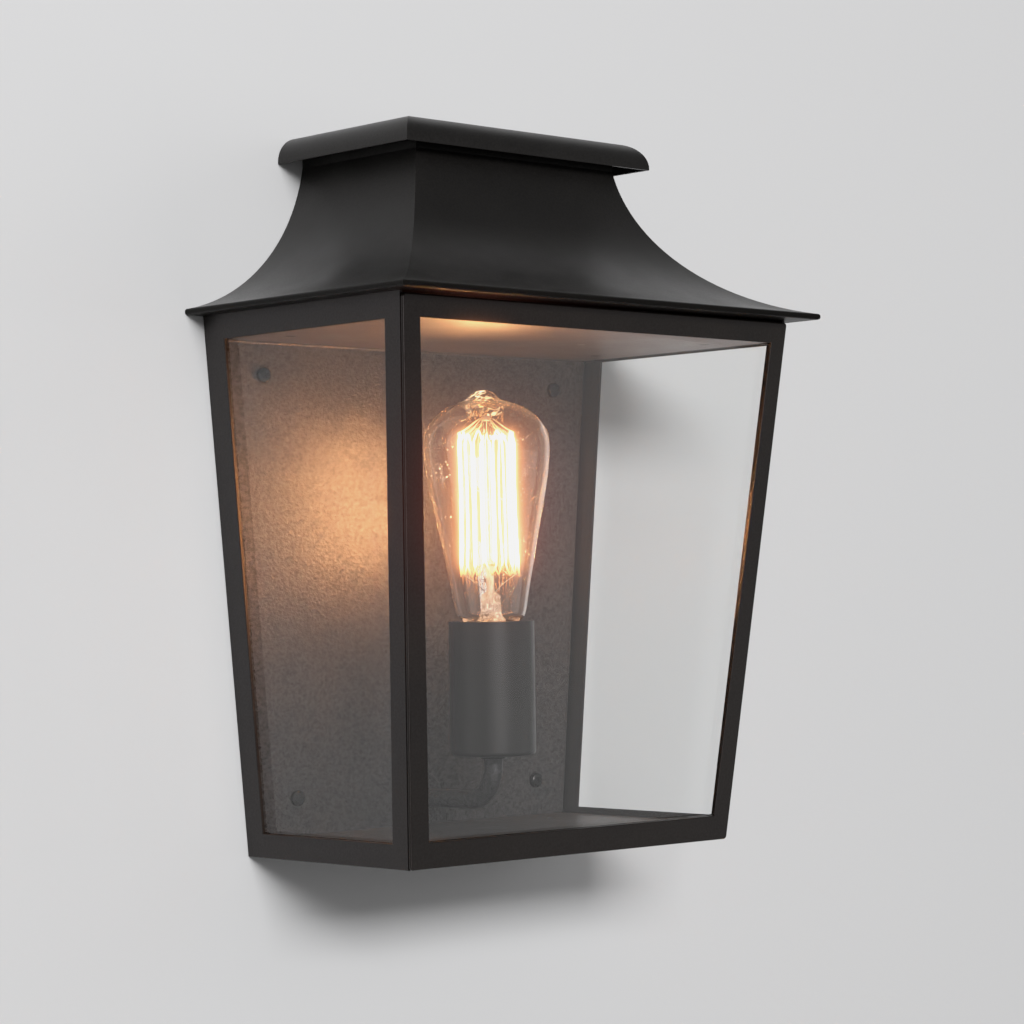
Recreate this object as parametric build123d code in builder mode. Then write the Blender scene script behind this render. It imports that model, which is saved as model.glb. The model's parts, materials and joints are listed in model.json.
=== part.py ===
from build123d import *
import math
import os

os.makedirs("parts", exist_ok=True)

# ------------------------------------------------------------------ driving sizes
# Millimetres. Heights (h) are above the body's bottom edge, depths from the wall.
# +X is right as one faces the wall, +Y goes into the wall, +Z is up.
FIXING_H = 133.0                        # height of the wall fixings' centre, the origin
BODY_H = 266.5                          # glazed body, bottom edge to eave
BODY_W_TOP, BODY_W_BOT = 263.0, 215.5   # body width at the eave and at the bottom
BODY_D_TOP, BODY_D_BOT = 149.4, 122.0   # body depth from the wall, eave and bottom
FRAME_T = 1.5                           # side frame and door sheet
HEM_T = 1.5                             # sheet folded back along the top and bottom rails
GLASS_T = 3.0
BEAD_T = 4.0                            # glazing bars, from the sheet to their inner face
GLASS_LAP = 4.5                         # glass beyond its window
DOOR_GAP = 0.7                          # door plate to the side frames' front edges
DOOR_CORNER_R = 2.0                     # the door plate's corners
RIGHT_STEP = 1.8                        # right-hand window, further forward than the left-hand one
EAVE_W, EAVE_D, EAVE_T = 285.0, 162.2, 3.2
ROOF_T = 1.2
ROOF_FOOT_H = BODY_H + EAVE_T           # where the curved roof starts
ROOF_FOOT_IN = 1.5                      # its foot, in from the eave's edge
NECK_H, NECK_IN = 345.2, 75.0           # top of the curve, and how far in it has come
ROOF_SAG = 16.4                         # how far the curve bows in from its chord
CAP_W, CAP_D = 166.4, 98.7
CAP_H0, CAP_H1, CAP_R = 346.0, 360.0, 13.0
PANEL_Y, PANEL_T = 6.5, 1.2             # back panel's face, out from the wall
PANEL_BEND = 1.5                        # bend along the back panel's top
PANEL_H0, PANEL_H1 = 9.2, 255.1
FLOOR_H = 9.0
CEIL_H, CEIL_T = 255.3, 1.5
SCREW_TOP = (100.0, 238.3)              # panel screws: half spacing, height
SCREW_BOT = (82.0, 27.7)
BRACKET_T = 2.0
FIX_X, FIX_Z, FIX_R = 120.0, 210.0, 2.75
LAMP_Y = 62.75                          # lamp axis, out from the wall
ARM_H, ARM_R, ARM_BORE, ARM_BEND = 23.5, 4.75, 3.75, 18.0
HOLDER_R, HOLDER_H0, HOLDER_H1 = 21.6, 46.7, 114.3
HINGE_P, HINGE_Q, HINGE_R, PIN_R = 2.6, 6.5, 2.5, 1.25
HINGE_AT = (48.0, 212.0)                # heights of the two hinges
WIRE_R = 1.0

# ------------------------------------------------------------------ derived geometry
KX = (BODY_W_TOP - BODY_W_BOT) / 2 / BODY_H
KY = (BODY_D_TOP - BODY_D_BOT) / BODY_H
CX, CY = 1 / math.hypot(1, KX), 1 / math.hypot(1, KY)
SX, SY = KX * CX, KY * CY


def hw(h):
    return BODY_W_BOT / 2 + KX * h


def dp(h):
    return BODY_D_BOT + KY * h


def zz(h):
    return h - FIXING_H


# planes of the left side's and the front's outer faces
LEFT = Plane(origin=(-hw(0), 0, zz(0)), x_dir=(0, -1, 0), z_dir=(-CX, 0, -SX))
FRONT = Plane(origin=(0, -dp(0), zz(0)), x_dir=(1, 0, 0), z_dir=(0, -CY, -SY))
LAMP = Plane(origin=(0, -LAMP_Y, zz(0)), x_dir=(1, 0, 0), z_dir=(0, -1, 0))  # lamp axis is local y


def side(*pts):
    return [(a, h / CX) for a, h in pts]


def front(*pts):
    return [(x, h / CY) for x, h in pts]


def level(h):
    return Plane.XY.offset(zz(h))


SIDE_WIN = ((12.8, 12.0), (dp(12.0) - 13.2, 12.0), (dp(254.3) - 13.2, 254.3), (15.0, 254.3))
DOOR_WIN = ((-97.3, 12.6), (97.3, 12.6), (119.9, 254.5), (-119.9, 254.5))
GROW = ((-1, -1), (1, -1), (1, 1), (-1, 1))


def grown(win, d):
    return [(x + sx * d, y + sy * d) for (x, y), (sx, sy) in zip(win, GROW)]


# ------------------------------------------------------------------ wall bracket
with BuildPart() as wall_bracket:
    with BuildSketch(Plane.XZ):
        Polygon((-91, zz(18)), (91, zz(18)), (108, zz(248)), (-108, zz(248)))
        Polygon((-62, zz(46)), (62, zz(46)), (70, zz(222)), (-70, zz(222)), mode=Mode.SUBTRACT)
        with Locations((0, zz(30))):
            Rectangle(32, 40, mode=Mode.SUBTRACT)
        with GridLocations(FIX_X, FIX_Z, 2, 2):
            Circle(FIX_R, mode=Mode.SUBTRACT)
        for sx, sh in (SCREW_TOP, SCREW_BOT):
            with Locations((sx, zz(sh)), (-sx, zz(sh))):
                Circle(2.2, mode=Mode.SUBTRACT)
    extrude(amount=BRACKET_T)
wall_bracket.part.label = "wall_bracket"
export_step(wall_bracket.part, "parts/wall_bracket.step")

with BuildPart() as bracket_nuts:
    with BuildSketch(Plane.XZ.offset(BRACKET_T)):
        for sx, sh in (SCREW_TOP, SCREW_BOT):
            with Locations((sx, zz(sh)), (-sx, zz(sh))):
                Circle(3.5)
                Circle(2.0, mode=Mode.SUBTRACT)
    extrude(amount=PANEL_Y - PANEL_T - BRACKET_T)
bracket_nuts.part.label = "bracket_nuts"
export_step(bracket_nuts.part, "parts/bracket_nuts.step")

# ------------------------------------------------------------------ back panel, a shallow tray
with BuildPart() as back_panel:
    with BuildSketch(Plane.XZ.offset(1.7)):
        for s in (-1, 1):
            Polygon(
                (s * (hw(PANEL_H0) - 5.5), zz(PANEL_H0)), (s * (hw(PANEL_H1) - 5.5), zz(PANEL_H1)),
                (s * (hw(PANEL_H1) - 6.7), zz(PANEL_H1)), (s * (hw(PANEL_H0) - 6.7), zz(PANEL_H0)),
            )
    extrude(amount=PANEL_Y - 1.7)
    with BuildSketch(Plane.XZ.offset(PANEL_Y - PANEL_T)):
        Polygon(
            (-hw(PANEL_H0) + 5.5, zz(PANEL_H0)), (hw(PANEL_H0) - 5.5, zz(PANEL_H0)),
            (hw(PANEL_H1) - 5.5, zz(PANEL_H1)), (-hw(PANEL_H1) + 5.5, zz(PANEL_H1)),
        )
    extrude(amount=PANEL_T)
    face = back_panel.faces().filter_by(Axis.Y).sort_by(Axis.Y)[0]
    fillet([e for e in face.edges() if abs(e.tangent_at(0.5).Z) > 0.9], radius=1.1)
    # the start of the bend along its top
    with BuildSketch(Plane.YZ.offset(-hw(PANEL_H1) + 7.0)):
        with BuildLine():
            Polyline((-PANEL_Y, zz(PANEL_H1 - PANEL_BEND)), (-PANEL_Y, zz(PANEL_H1)), (-PANEL_Y - PANEL_BEND, zz(PANEL_H1)))
            ThreePointArc(
                (-PANEL_Y - PANEL_BEND, zz(PANEL_H1)),
                (-PANEL_Y - PANEL_BEND * 0.2929, zz(PANEL_H1 - PANEL_BEND * 0.2929)),
                (-PANEL_Y, zz(PANEL_H1 - PANEL_BEND)),
            )
        make_face()
    extrude(amount=2 * (hw(PANEL_H1) - 7.0))
    with BuildSketch(Plane.XZ):
        for sx, sh in (SCREW_TOP, SCREW_BOT):
            with Locations((sx, zz(sh)), (-sx, zz(sh))):
                Circle(2.2)
        with Locations((0, zz(ARM_H))):
            Circle(ARM_R + 0.1)
        with Locations((9.3, zz(ARM_H)), (-9.3, zz(ARM_H))):
            Circle(1.5)
    extrude(amount=20, mode=Mode.SUBTRACT)
back_panel.part.label = "back_panel"
export_step(back_panel.part, "parts/back_panel.step")

# pan heads with a cross recess
with BuildPart() as panel_screws:
    with BuildSketch(Plane.XZ.offset(PANEL_Y)):
        for sx, sh in (SCREW_TOP, SCREW_BOT):
            with Locations((sx, zz(sh)), (-sx, zz(sh))):
                Circle(4.0)
    extrude(amount=2.6)
    fillet(panel_screws.faces().filter_by(Axis.Y).group_by(Axis.Y)[0].edges(), radius=1.5)
    with BuildSketch(Plane.XZ.offset(PANEL_Y + 1.3)):
        for sx, sh in (SCREW_TOP, SCREW_BOT):
            for s in (-1, 1):
                with Locations(Location((s * sx, zz(sh)), 25.0 + s * 20)):
                    Rectangle(4.6, 0.95)
                    Rectangle(0.95, 4.6)
    extrude(amount=3, mode=Mode.SUBTRACT)
    with BuildSketch(Plane.XZ.offset(0.4)):
        for sx, sh in (SCREW_TOP, SCREW_BOT):
            with Locations((sx, zz(sh)), (-sx, zz(sh))):
                Circle(2.0)
    extrude(amount=PANEL_Y - 0.4 + 0.2)
panel_screws.part.label = "panel_screws"
export_step(panel_screws.part, "parts/panel_screws.step")

# ------------------------------------------------------------------ side frames
DOOR_BACK = FRAME_T / CY + DOOR_GAP
BEAD_SCREWS = ((30.0, 4.2), (dp(4.2) - 34.0, 4.2), (32.0, 262.0), (dp(262.0) - 34.0, 262.0))
with BuildPart() as left_side_frame:
    with BuildSketch(LEFT):
        Polygon(side((0, -3), (dp(-3) - DOOR_BACK, -3), (dp(BODY_H + 3) - DOOR_BACK, BODY_H + 3), (0, BODY_H + 3)))
        Polygon(side(*SIDE_WIN), mode=Mode.SUBTRACT)
    extrude(amount=-FRAME_T)
    split(bisect_by=level(BODY_H), keep=Keep.BOTTOM)
    split(bisect_by=level(0), keep=Keep.TOP)
    face = left_side_frame.faces().filter_by(lambda f: f.normal_at().dot(Vector(-CX, 0, -SX)) > 0.999).sort_by(SortBy.AREA)[-1]
    fillet(face.inner_wires()[0].edges(), radius=0.4)
    face = left_side_frame.faces().filter_by(lambda f: f.normal_at().dot(Vector(-CX, 0, -SX)) > 0.999).sort_by(SortBy.AREA)[-1]
    fillet(face.outer_wire().edges().sort_by(Axis.Z)[0], radius=0.6)
    with BuildSketch(Plane.XZ):
        Polygon(
            (-hw(1) + 1, zz(1)), (-hw(265) + 1, zz(265)), (-hw(265) + 15, zz(265)), (-hw(1) + 15, zz(1)),
        )
    extrude(amount=1.5)
    with BuildSketch(LEFT.offset(-FRAME_T)):
        Polygon(side((7.0, 1.0), (dp(1.0) - 7.5, 1.0), (dp(7.0) - 7.5, 7.0), (7.0, 7.0)))
        Polygon(side((7.0, 259.3), (dp(259.3) - 7.5, 259.3), (dp(265.5) - 7.5, 265.5), (7.0, 265.5)))
    extrude(amount=-HEM_T)
    with BuildSketch(LEFT.offset(-FRAME_T - HEM_T)):
        with Locations(*side(*BEAD_SCREWS)):
            Circle(1.5)
    extrude(amount=2.2, mode=Mode.SUBTRACT)
left_side_frame.part.label = "left_side_frame"
export_step(left_side_frame.part, "parts/left_side_frame.step")

# the right-hand window reaches further forward
with BuildPart() as window_step:
    with BuildSketch(LEFT.offset(1.0)):
        Polygon(side(
            (dp(12.0) - 15.0, 12.0), (dp(12.0) - 13.2 + RIGHT_STEP, 12.0),
            (dp(254.3) - 13.2 + RIGHT_STEP, 254.3), (dp(254.3) - 15.0, 254.3),
        ))
    extrude(amount=-FRAME_T - 1.0)

with BuildPart() as right_side_frame:
    mirror(left_side_frame.part, about=Plane.YZ)
    mirror(window_step.part, about=Plane.YZ, mode=Mode.SUBTRACT)
right_side_frame.part.label = "right_side_frame"
export_step(right_side_frame.part, "parts/right_side_frame.step")

with BuildPart() as left_glass:
    with BuildSketch(LEFT.offset(-FRAME_T)):
        Polygon(side(*grown(SIDE_WIN, GLASS_LAP)))
    extrude(amount=-GLASS_T)
left_glass.part.label = "left_glass"
export_step(left_glass.part, "parts/left_glass.step")

with BuildPart() as right_glass:
    mirror(left_glass.part, about=Plane.YZ)
right_glass.part.label = "right_glass"
export_step(right_glass.part, "parts/right_glass.step")

# glazing bars: rebated, along the pane's top and bottom edges, hidden behind the rails
BEAD_OUT = ((7.0, 1.0), (dp(1.0) - 7.5, 1.0), (dp(265.0) - 7.5, 265.0), (7.0, 265.0))
with BuildPart() as left_glazing_bead:
    with BuildSketch(LEFT.offset(-FRAME_T - HEM_T)):
        Polygon(side(*BEAD_OUT))
        Polygon(side(*grown(SIDE_WIN, GLASS_LAP + 0.3)), mode=Mode.SUBTRACT)
    extrude(amount=-(GLASS_T + 0.05 - HEM_T))
    with BuildSketch(LEFT.offset(-FRAME_T - GLASS_T - 0.05)):
        Polygon(side(*BEAD_OUT))
        Polygon(side(*grown(SIDE_WIN, 0.4)), mode=Mode.SUBTRACT)
    extrude(amount=-(BEAD_T - GLASS_T - 0.05))
    with BuildSketch(LEFT.offset(-FRAME_T - BEAD_T)):
        with Locations(*side(*BEAD_SCREWS)):
            Circle(1.6)
    extrude(amount=BEAD_T, mode=Mode.SUBTRACT)
    with BuildSketch(LEFT.offset(-FRAME_T - BEAD_T)):
        with Locations(*side(*BEAD_SCREWS)):
            Circle(2.4)
    extrude(amount=1.8, mode=Mode.SUBTRACT)
    with BuildSketch(LEFT.offset(-FRAME_T)):
        Polygon(side((-5, 12.0), (200, 12.0), (200, 254.3), (-5, 254.3)))
    extrude(amount=-BEAD_T - 1, mode=Mode.SUBTRACT)
left_glazing_bead.part.label = "left_glazing_bead"
export_step(left_glazing_bead.part, "parts/left_glazing_bead.step")

with BuildPart() as right_glazing_bead:
    mirror(left_glazing_bead.part, about=Plane.YZ)
right_glazing_bead.part.label = "right_glazing_bead"
export_step(right_glazing_bead.part, "parts/right_glazing_bead.step")

with BuildPart() as left_bead_screws:
    with BuildSketch(LEFT.offset(-FRAME_T - BEAD_T + 1.8)):
        with Locations(*side(*BEAD_SCREWS)):
            Circle(2.3)
    extrude(amount=-1.7)
    with BuildSketch(LEFT.offset(-FRAME_T - BEAD_T + 1.0)):
        with Locations(*side(*BEAD_SCREWS)):
            Circle(1.45)
    extrude(amount=BEAD_T - 1.0 + 0.6)
    with BuildSketch(LEFT.offset(-FRAME_T - BEAD_T + 0.9)):
        with Locations(*side(*BEAD_SCREWS)):
            Rectangle(0.8, 5.0)
    extrude(amount=-2.0, mode=Mode.SUBTRACT)
left_bead_screws.part.label = "left_bead_screws"
export_step(left_bead_screws.part, "parts/left_bead_screws.step")

with BuildPart() as right_bead_screws:
    mirror(left_bead_screws.part, about=Plane.YZ)
right_bead_screws.part.label = "right_bead_screws"
export_step(right_bead_screws.part, "parts/right_bead_screws.step")

# ------------------------------------------------------------------ door
DOOR_TOP = BODY_H - 1.1
DOOR_SCREWS = ((-70.0, 4.4), (70.0, 4.4), (-85.0, 261.75), (85.0, 261.75))
with BuildPart() as door_frame:
    with BuildSketch(FRONT) as door_outline:
        Polygon(front((-hw(0), 0), (hw(0), 0), (hw(DOOR_TOP), DOOR_TOP), (-hw(DOOR_TOP), DOOR_TOP)))
        fillet(door_outline.vertices(), radius=DOOR_CORNER_R)
        Polygon(front(*DOOR_WIN), mode=Mode.SUBTRACT)
    extrude(amount=-FRAME_T)
    face = door_frame.faces().filter_by(lambda f: f.normal_at().dot(Vector(0, -CY, -SY)) > 0.999).sort_by(SortBy.AREA)[-1]
    rim, inner = face.outer_wire().edges(), face.inner_wires()[0].edges()
    fillet(inner, radius=0.4)
    face = door_frame.faces().filter_by(lambda f: f.normal_at().dot(Vector(0, -CY, -SY)) > 0.999).sort_by(SortBy.AREA)[-1]
    fillet(face.outer_wire().edges(), radius=0.95)
    with BuildSketch(FRONT.offset(-FRAME_T)):
        Polygon(front((-hw(1.0) + 4.3, 1.0), (hw(1.0) - 4.3, 1.0), (hw(7.4) - 4.3, 7.4), (-hw(7.4) + 4.3, 7.4)))
        Polygon(front((-hw(259.5) + 4.3, 259.5), (hw(259.5) - 4.3, 259.5), (hw(264.4) - 4.3, 264.4), (-hw(264.4) + 4.3, 264.4)))
    extrude(amount=-HEM_T)
    with BuildSketch(FRONT.offset(-FRAME_T - HEM_T)):
        with Locations(*front(*DOOR_SCREWS)):
            Circle(1.5)
    extrude(amount=2.2, mode=Mode.SUBTRACT)
door_frame.part.label = "door_frame"
export_step(door_frame.part, "parts/door_frame.step")

with BuildPart() as door_glass:
    with BuildSketch(FRONT.offset(-FRAME_T)):
        Polygon(front(*grown(DOOR_WIN, GLASS_LAP)))
    extrude(amount=-GLASS_T)
door_glass.part.label = "door_glass"
export_step(door_glass.part, "parts/door_glass.step")

DOOR_BEAD = ((-hw(1.0) + 4.3, 1.0), (hw(1.0) - 4.3, 1.0), (hw(264.4) - 4.3, 264.4), (-hw(264.4) + 4.3, 264.4))
with BuildPart() as door_glazing_bead:
    with BuildSketch(FRONT.offset(-FRAME_T - HEM_T)):
        Polygon(front(*DOOR_BEAD))
        Polygon(front(*grown(DOOR_WIN, GLASS_LAP + 0.3)), mode=Mode.SUBTRACT)
    extrude(amount=-(GLASS_T + 0.05 - HEM_T))
    with BuildSketch(FRONT.offset(-FRAME_T - GLASS_T - 0.05)):
        Polygon(front(*DOOR_BEAD))
        Polygon(front(*grown(DOOR_WIN, 0.4)), mode=Mode.SUBTRACT)
    extrude(amount=-(BEAD_T - GLASS_T - 0.05))
    with BuildSketch(FRONT.offset(-FRAME_T - BEAD_T)):
        with Locations(*front(*DOOR_SCREWS)):
            Circle(1.6)
    extrude(amount=BEAD_T, mode=Mode.SUBTRACT)
    with BuildSketch(FRONT.offset(-FRAME_T - BEAD_T)):
        with Locations(*front(*DOOR_SCREWS)):
            Circle(2.4)
    extrude(amount=1.8, mode=Mode.SUBTRACT)
    with BuildSketch(FRONT.offset(-FRAME_T)):
        Polygon(front((-200, 12.6), (200, 12.6), (200, 254.5), (-200, 254.5)))
    extrude(amount=-BEAD_T - 1, mode=Mode.SUBTRACT)
door_glazing_bead.part.label = "door_glazing_bead"
export_step(door_glazing_bead.part, "parts/door_glazing_bead.step")

with BuildPart() as door_bead_screws:
    with BuildSketch(FRONT.offset(-FRAME_T - BEAD_T + 1.8)):
        with Locations(*front(*DOOR_SCREWS)):
            Circle(2.3)
    extrude(amount=-1.7)
    with BuildSketch(FRONT.offset(-FRAME_T - BEAD_T + 1.0)):
        with Locations(*front(*DOOR_SCREWS)):
            Circle(1.45)
    extrude(amount=BEAD_T - 1.0 + 0.6)
    with BuildSketch(FRONT.offset(-FRAME_T - BEAD_T + 0.9)):
        with Locations(*front(*DOOR_SCREWS)):
            Rectangle(5.0, 0.8)
    extrude(amount=-2.0, mode=Mode.SUBTRACT)
door_bead_screws.part.label = "door_bead_screws"
export_step(door_bead_screws.part, "parts/door_bead_screws.step")

# ------------------------------------------------------------------ hinges on the right-hand edge
# local x is out of the right side's face, local y runs back along it, local z up the corner
EDGE = Vector(KX, -KY, 1).normalized()


def hinge_plane(h, along=0.0):
    p = Vector(hw(h), -dp(h), zz(h)) + EDGE * along
    return Plane(origin=p, x_dir=(CX, 0, -SX), z_dir=EDGE)


with BuildPart() as hinge_body_leaves:
    for h in HINGE_AT:
        with BuildSketch(hinge_plane(h, -12.0)):
            with Locations((0.52, 8.2)):
                Rectangle(1.0, 9.2)
            with Locations((HINGE_P, HINGE_Q)):
                Circle(HINGE_R)
                Circle(PIN_R, mode=Mode.SUBTRACT)
        extrude(amount=11.8)
hinge_body_leaves.part.label = "hinge_body_leaves"
export_step(hinge_body_leaves.part, "parts/hinge_body_leaves.step")

with BuildPart() as hinge_door_leaves:
    for h in HINGE_AT:
        with BuildSketch(hinge_plane(h, 0.2)):
            Polygon((0.06, 1.0), (0.40, 1.0), (1.06, 1.75), (1.06, 6.8), (0.06, 6.8))
            with Locations((HINGE_P, HINGE_Q)):
                Circle(HINGE_R)
                Circle(PIN_R + 0.05, mode=Mode.SUBTRACT)
        extrude(amount=11.8)
hinge_door_leaves.part.label = "hinge_door_leaves"
export_step(hinge_door_leaves.part, "parts/hinge_door_leaves.step")

with BuildPart() as hinge_pins:
    for h in HINGE_AT:
        with BuildSketch(hinge_plane(h, -12.0)):
            with Locations((HINGE_P, HINGE_Q)):
                Circle(PIN_R)
        extrude(amount=24.6)
        with BuildSketch(hinge_plane(h, 12.3)):
            with Locations((HINGE_P, HINGE_Q)):
                Circle(2.1)
        extrude(amount=1.2)
hinge_pins.part.label = "hinge_pins"
export_step(hinge_pins.part, "parts/hinge_pins.step")

# ------------------------------------------------------------------ magnetic catch, above the ceiling, against the door's top bar
CATCH_H, CATCH_X = 261.3, -100.0
CATCH_Y = -(dp(CATCH_H) - FRAME_T - BEAD_T - 1.0)   # the magnet's face
with BuildPart() as magnet_holder:
    with BuildSketch(level(CEIL_H + CEIL_T)):
        Polygon(
            (CATCH_X - 4.5, CATCH_Y + 0.7), (CATCH_X + 4.5, CATCH_Y + 0.7),
            (CATCH_X + 4.5, CATCH_Y + 9.5), (CATCH_X - 4.5, CATCH_Y + 9.5),
        )
    extrude(amount=8.5)
    fillet(magnet_holder.edges().filter_by(Axis.Z), radius=0.8)
    with BuildSketch(Plane(origin=(CATCH_X, CATCH_Y, zz(CATCH_H)), x_dir=(1, 0, 0), z_dir=(0, 1, 0))):
        Circle(2.5)
    extrude(amount=5.3, mode=Mode.SUBTRACT)
magnet_holder.part.label = "magnet_holder"
export_step(magnet_holder.part, "parts/magnet_holder.step")

with BuildPart() as catch_magnet:
    with BuildSketch(Plane(origin=(CATCH_X, CATCH_Y, zz(CATCH_H)), x_dir=(1, 0, 0), z_dir=(0, 1, 0))):
        Circle(2.5)
    extrude(amount=5.3)
catch_magnet.part.label = "catch_magnet"
export_step(catch_magnet.part, "parts/catch_magnet.step")

# ------------------------------------------------------------------ floor and ceiling
INNER = FRAME_T + BEAD_T + 0.1
with BuildPart() as floor_plate:
    with BuildSketch(level(FLOOR_H)):
        Polygon(
            (-hw(8) + INNER + 0.1, -1.7), (hw(8) - INNER - 0.1, -1.7),
            (hw(8) - INNER - 0.1, -dp(8) + INNER + 0.8), (-hw(8) + INNER + 0.1, -dp(8) + INNER + 0.8),
        )
    extrude(amount=-1.2)
    with BuildSketch(LEFT.offset(-INNER)):
        Polygon(side((1.7, 0.6), (dp(0.6) - INNER - 0.9, 0.6), (dp(8.4) - INNER - 0.9, 8.4), (1.7, 8.4)))
    extrude(amount=-1.2)
    mirror(about=Plane.YZ)
    with BuildSketch(FRONT.offset(-FRAME_T - BEAD_T - 0.7)):
        Polygon(front((-hw(0.6) + INNER + 0.3, 0.6), (hw(0.6) - INNER - 0.3, 0.6), (hw(8.2) - INNER - 0.3, 8.2), (-hw(8.2) + INNER + 0.3, 8.2)))
    extrude(amount=-1.2)
    with BuildSketch(level(FLOOR_H)):
        with Locations((-70, -30), (70, -30), (-70, -95), (70, -95)):
            Circle(2.5)
    extrude(amount=-5, mode=Mode.SUBTRACT)
floor_plate.part.label = "floor_plate"
export_step(floor_plate.part, "parts/floor_plate.step")

POSTS = ((-105.0, -35.0), (105.0, -35.0), (-105.0, -115.0), (105.0, -115.0))
with BuildPart() as ceiling_plate:
    with BuildSketch(level(CEIL_H)):
        Polygon(
            (-hw(CEIL_H) + INNER + 0.3, -1.7), (hw(CEIL_H) - INNER - 0.3, -1.7),
            (hw(CEIL_H) - INNER - 0.3, -dp(CEIL_H) + INNER + 0.8), (-hw(CEIL_H) + INNER + 0.3, -dp(CEIL_H) + INNER + 0.8),
        )
        with Locations((0, -5)):
            Rectangle(16, 9, mode=Mode.SUBTRACT)
        with Locations((50.0, -80.0)):
            Circle(2.0, mode=Mode.SUBTRACT)
    extrude(amount=CEIL_T)
    with Locations(*[(x, y, zz(CEIL_H) + CEIL_T / 2) for x, y in POSTS]):
        Cone(3.05, 1.55, CEIL_T, mode=Mode.SUBTRACT)
ceiling_plate.part.label = "ceiling_plate"
export_step(ceiling_plate.part, "parts/ceiling_plate.step")

with BuildPart() as ceiling_screws:
    with Locations(*[(x, y, zz(CEIL_H) + 0.7) for x, y in POSTS]):
        Cone(2.95, 1.55, 1.4)
    with Locations(*[(x, y, zz(CEIL_H) + 5.2) for x, y in POSTS]):
        Cylinder(1.5, 7.8)
    with BuildSketch(level(CEIL_H + 0.7)):
        with Locations(*POSTS):
            Rectangle(6.5, 0.8)
    extrude(amount=-2.0, mode=Mode.SUBTRACT)
ceiling_screws.part.label = "ceiling_screws"
export_step(ceiling_screws.part, "parts/ceiling_screws.step")

POST_H = BODY_H - CEIL_H - CEIL_T
with BuildPart() as ceiling_posts:
    with BuildSketch(level(CEIL_H + CEIL_T)):
        with Locations(*POSTS):
            RegularPolygon(4.0, 6)
    extrude(amount=POST_H)
    with BuildSketch(level(BODY_H)):
        with Locations(*POSTS):
            Circle(2.0)
    extrude(amount=6.5)
    with BuildSketch(level(CEIL_H + CEIL_T)):
        with Locations(*POSTS):
            Circle(1.5)
    extrude(amount=8.0, mode=Mode.SUBTRACT)
ceiling_posts.part.label = "ceiling_posts"
export_step(ceiling_posts.part, "parts/ceiling_posts.step")

with BuildPart() as post_nuts:
    with BuildSketch(level(BODY_H + 1.5)):
        with Locations(*POSTS):
            RegularPolygon(4.04, 6)
            Circle(2.0, mode=Mode.SUBTRACT)
    extrude(amount=3.2)
post_nuts.part.label = "post_nuts"
export_step(post_nuts.part, "parts/post_nuts.step")

# ------------------------------------------------------------------ roof
# eave plate with a thick rounded hem
with BuildPart() as roof_base:
    with BuildSketch(level(BODY_H)):
        Polygon((-EAVE_W / 2, 0), (EAVE_W / 2, 0), (EAVE_W / 2, -EAVE_D), (-EAVE_W / 2, -EAVE_D))
    extrude(amount=EAVE_T)
    hem = [e for e in roof_base.edges().filter_by(Axis.Z, reverse=True) if e.center().Y < -1]
    fillet(hem, radius=1.4)
    with BuildSketch(level(BODY_H + 1.5)):
        Polygon((-EAVE_W / 2 + 6, 1), (EAVE_W / 2 - 6, 1), (EAVE_W / 2 - 6, -EAVE_D + 6), (-EAVE_W / 2 + 6, -EAVE_D + 6))
    extrude(amount=5, mode=Mode.SUBTRACT)
    with BuildSketch(level(BODY_H)):
        Polygon((-80, -25), (80, -25), (80, -105), (-80, -105))
        with Locations(*POSTS):
            Circle(2.1)
    extrude(amount=5, mode=Mode.SUBTRACT)
roof_base.part.label = "roof_base"
export_step(roof_base.part, "parts/roof_base.step")

# the roof's curve: inset from the eave's edge against height
FOOT = (ROOF_FOOT_IN, ROOF_FOOT_H)
NECK = (NECK_IN, NECK_H)
CHORD = math.hypot(NECK[0] - FOOT[0], NECK[1] - FOOT[1])
UX, UY = (NECK[0] - FOOT[0]) / CHORD, (NECK[1] - FOOT[1]) / CHORD
CURVE_R = (CHORD**2 / 4 + ROOF_SAG**2) / (2 * ROOF_SAG)
CURVE_C = (
    (FOOT[0] + NECK[0]) / 2 - UY * (CURVE_R - ROOF_SAG),
    (FOOT[1] + NECK[1]) / 2 + UX * (CURVE_R - ROOF_SAG),
)
print("roof curve radius", round(CURVE_R, 2))


def inset_at(h, skin=0.0):
    return CURVE_C[0] + math.sqrt((CURVE_R + skin) ** 2 - (h - CURVE_C[1]) ** 2)


def bell(half, skin, h0, h1):
    """The roof's curve across the wall, skin mm inside its outer face: right side, left side."""
    right = [(half - inset_at(h, skin), zz(h)) for h in (h0, (h0 + h1) / 2 - 6, h1)]
    return right, [(-x, y) for x, y in reversed(right)]


def half_bell(depth, skin, h0, h1):
    """The roof's curve at its front, on Plane.YZ."""
    return [(-(depth - inset_at(h, skin)), zz(h)) for h in (h0, (h0 + h1) / 2 - 6, h1)]


CAP_UNDER = CAP_H1 - ROOF_T
with BuildPart() as roof_core:
    r, l = bell(EAVE_W / 2, ROOF_T, ROOF_FOOT_H - 0.9, NECK_H)
    top = zz(CAP_UNDER - ROOF_T)
    with BuildSketch(Plane.XZ.offset(-1)):
        with BuildLine():
            ThreePointArc(*r)
            Polyline(r[2], (r[2][0], top), (l[0][0], top), l[0])
            ThreePointArc(*l)
            Line(l[2], r[0])
        make_face()
    extrude(amount=EAVE_D + 2)
    f = half_bell(EAVE_D, ROOF_T, ROOF_FOOT_H - 0.9, NECK_H)
    with BuildSketch(Plane.YZ):
        with BuildLine():
            ThreePointArc(*f)
            Polyline(f[2], (f[2][0], top), (2, top), (2, f[0][1]), f[0])
        make_face()
    extrude(amount=200, both=True, mode=Mode.INTERSECT)

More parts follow.
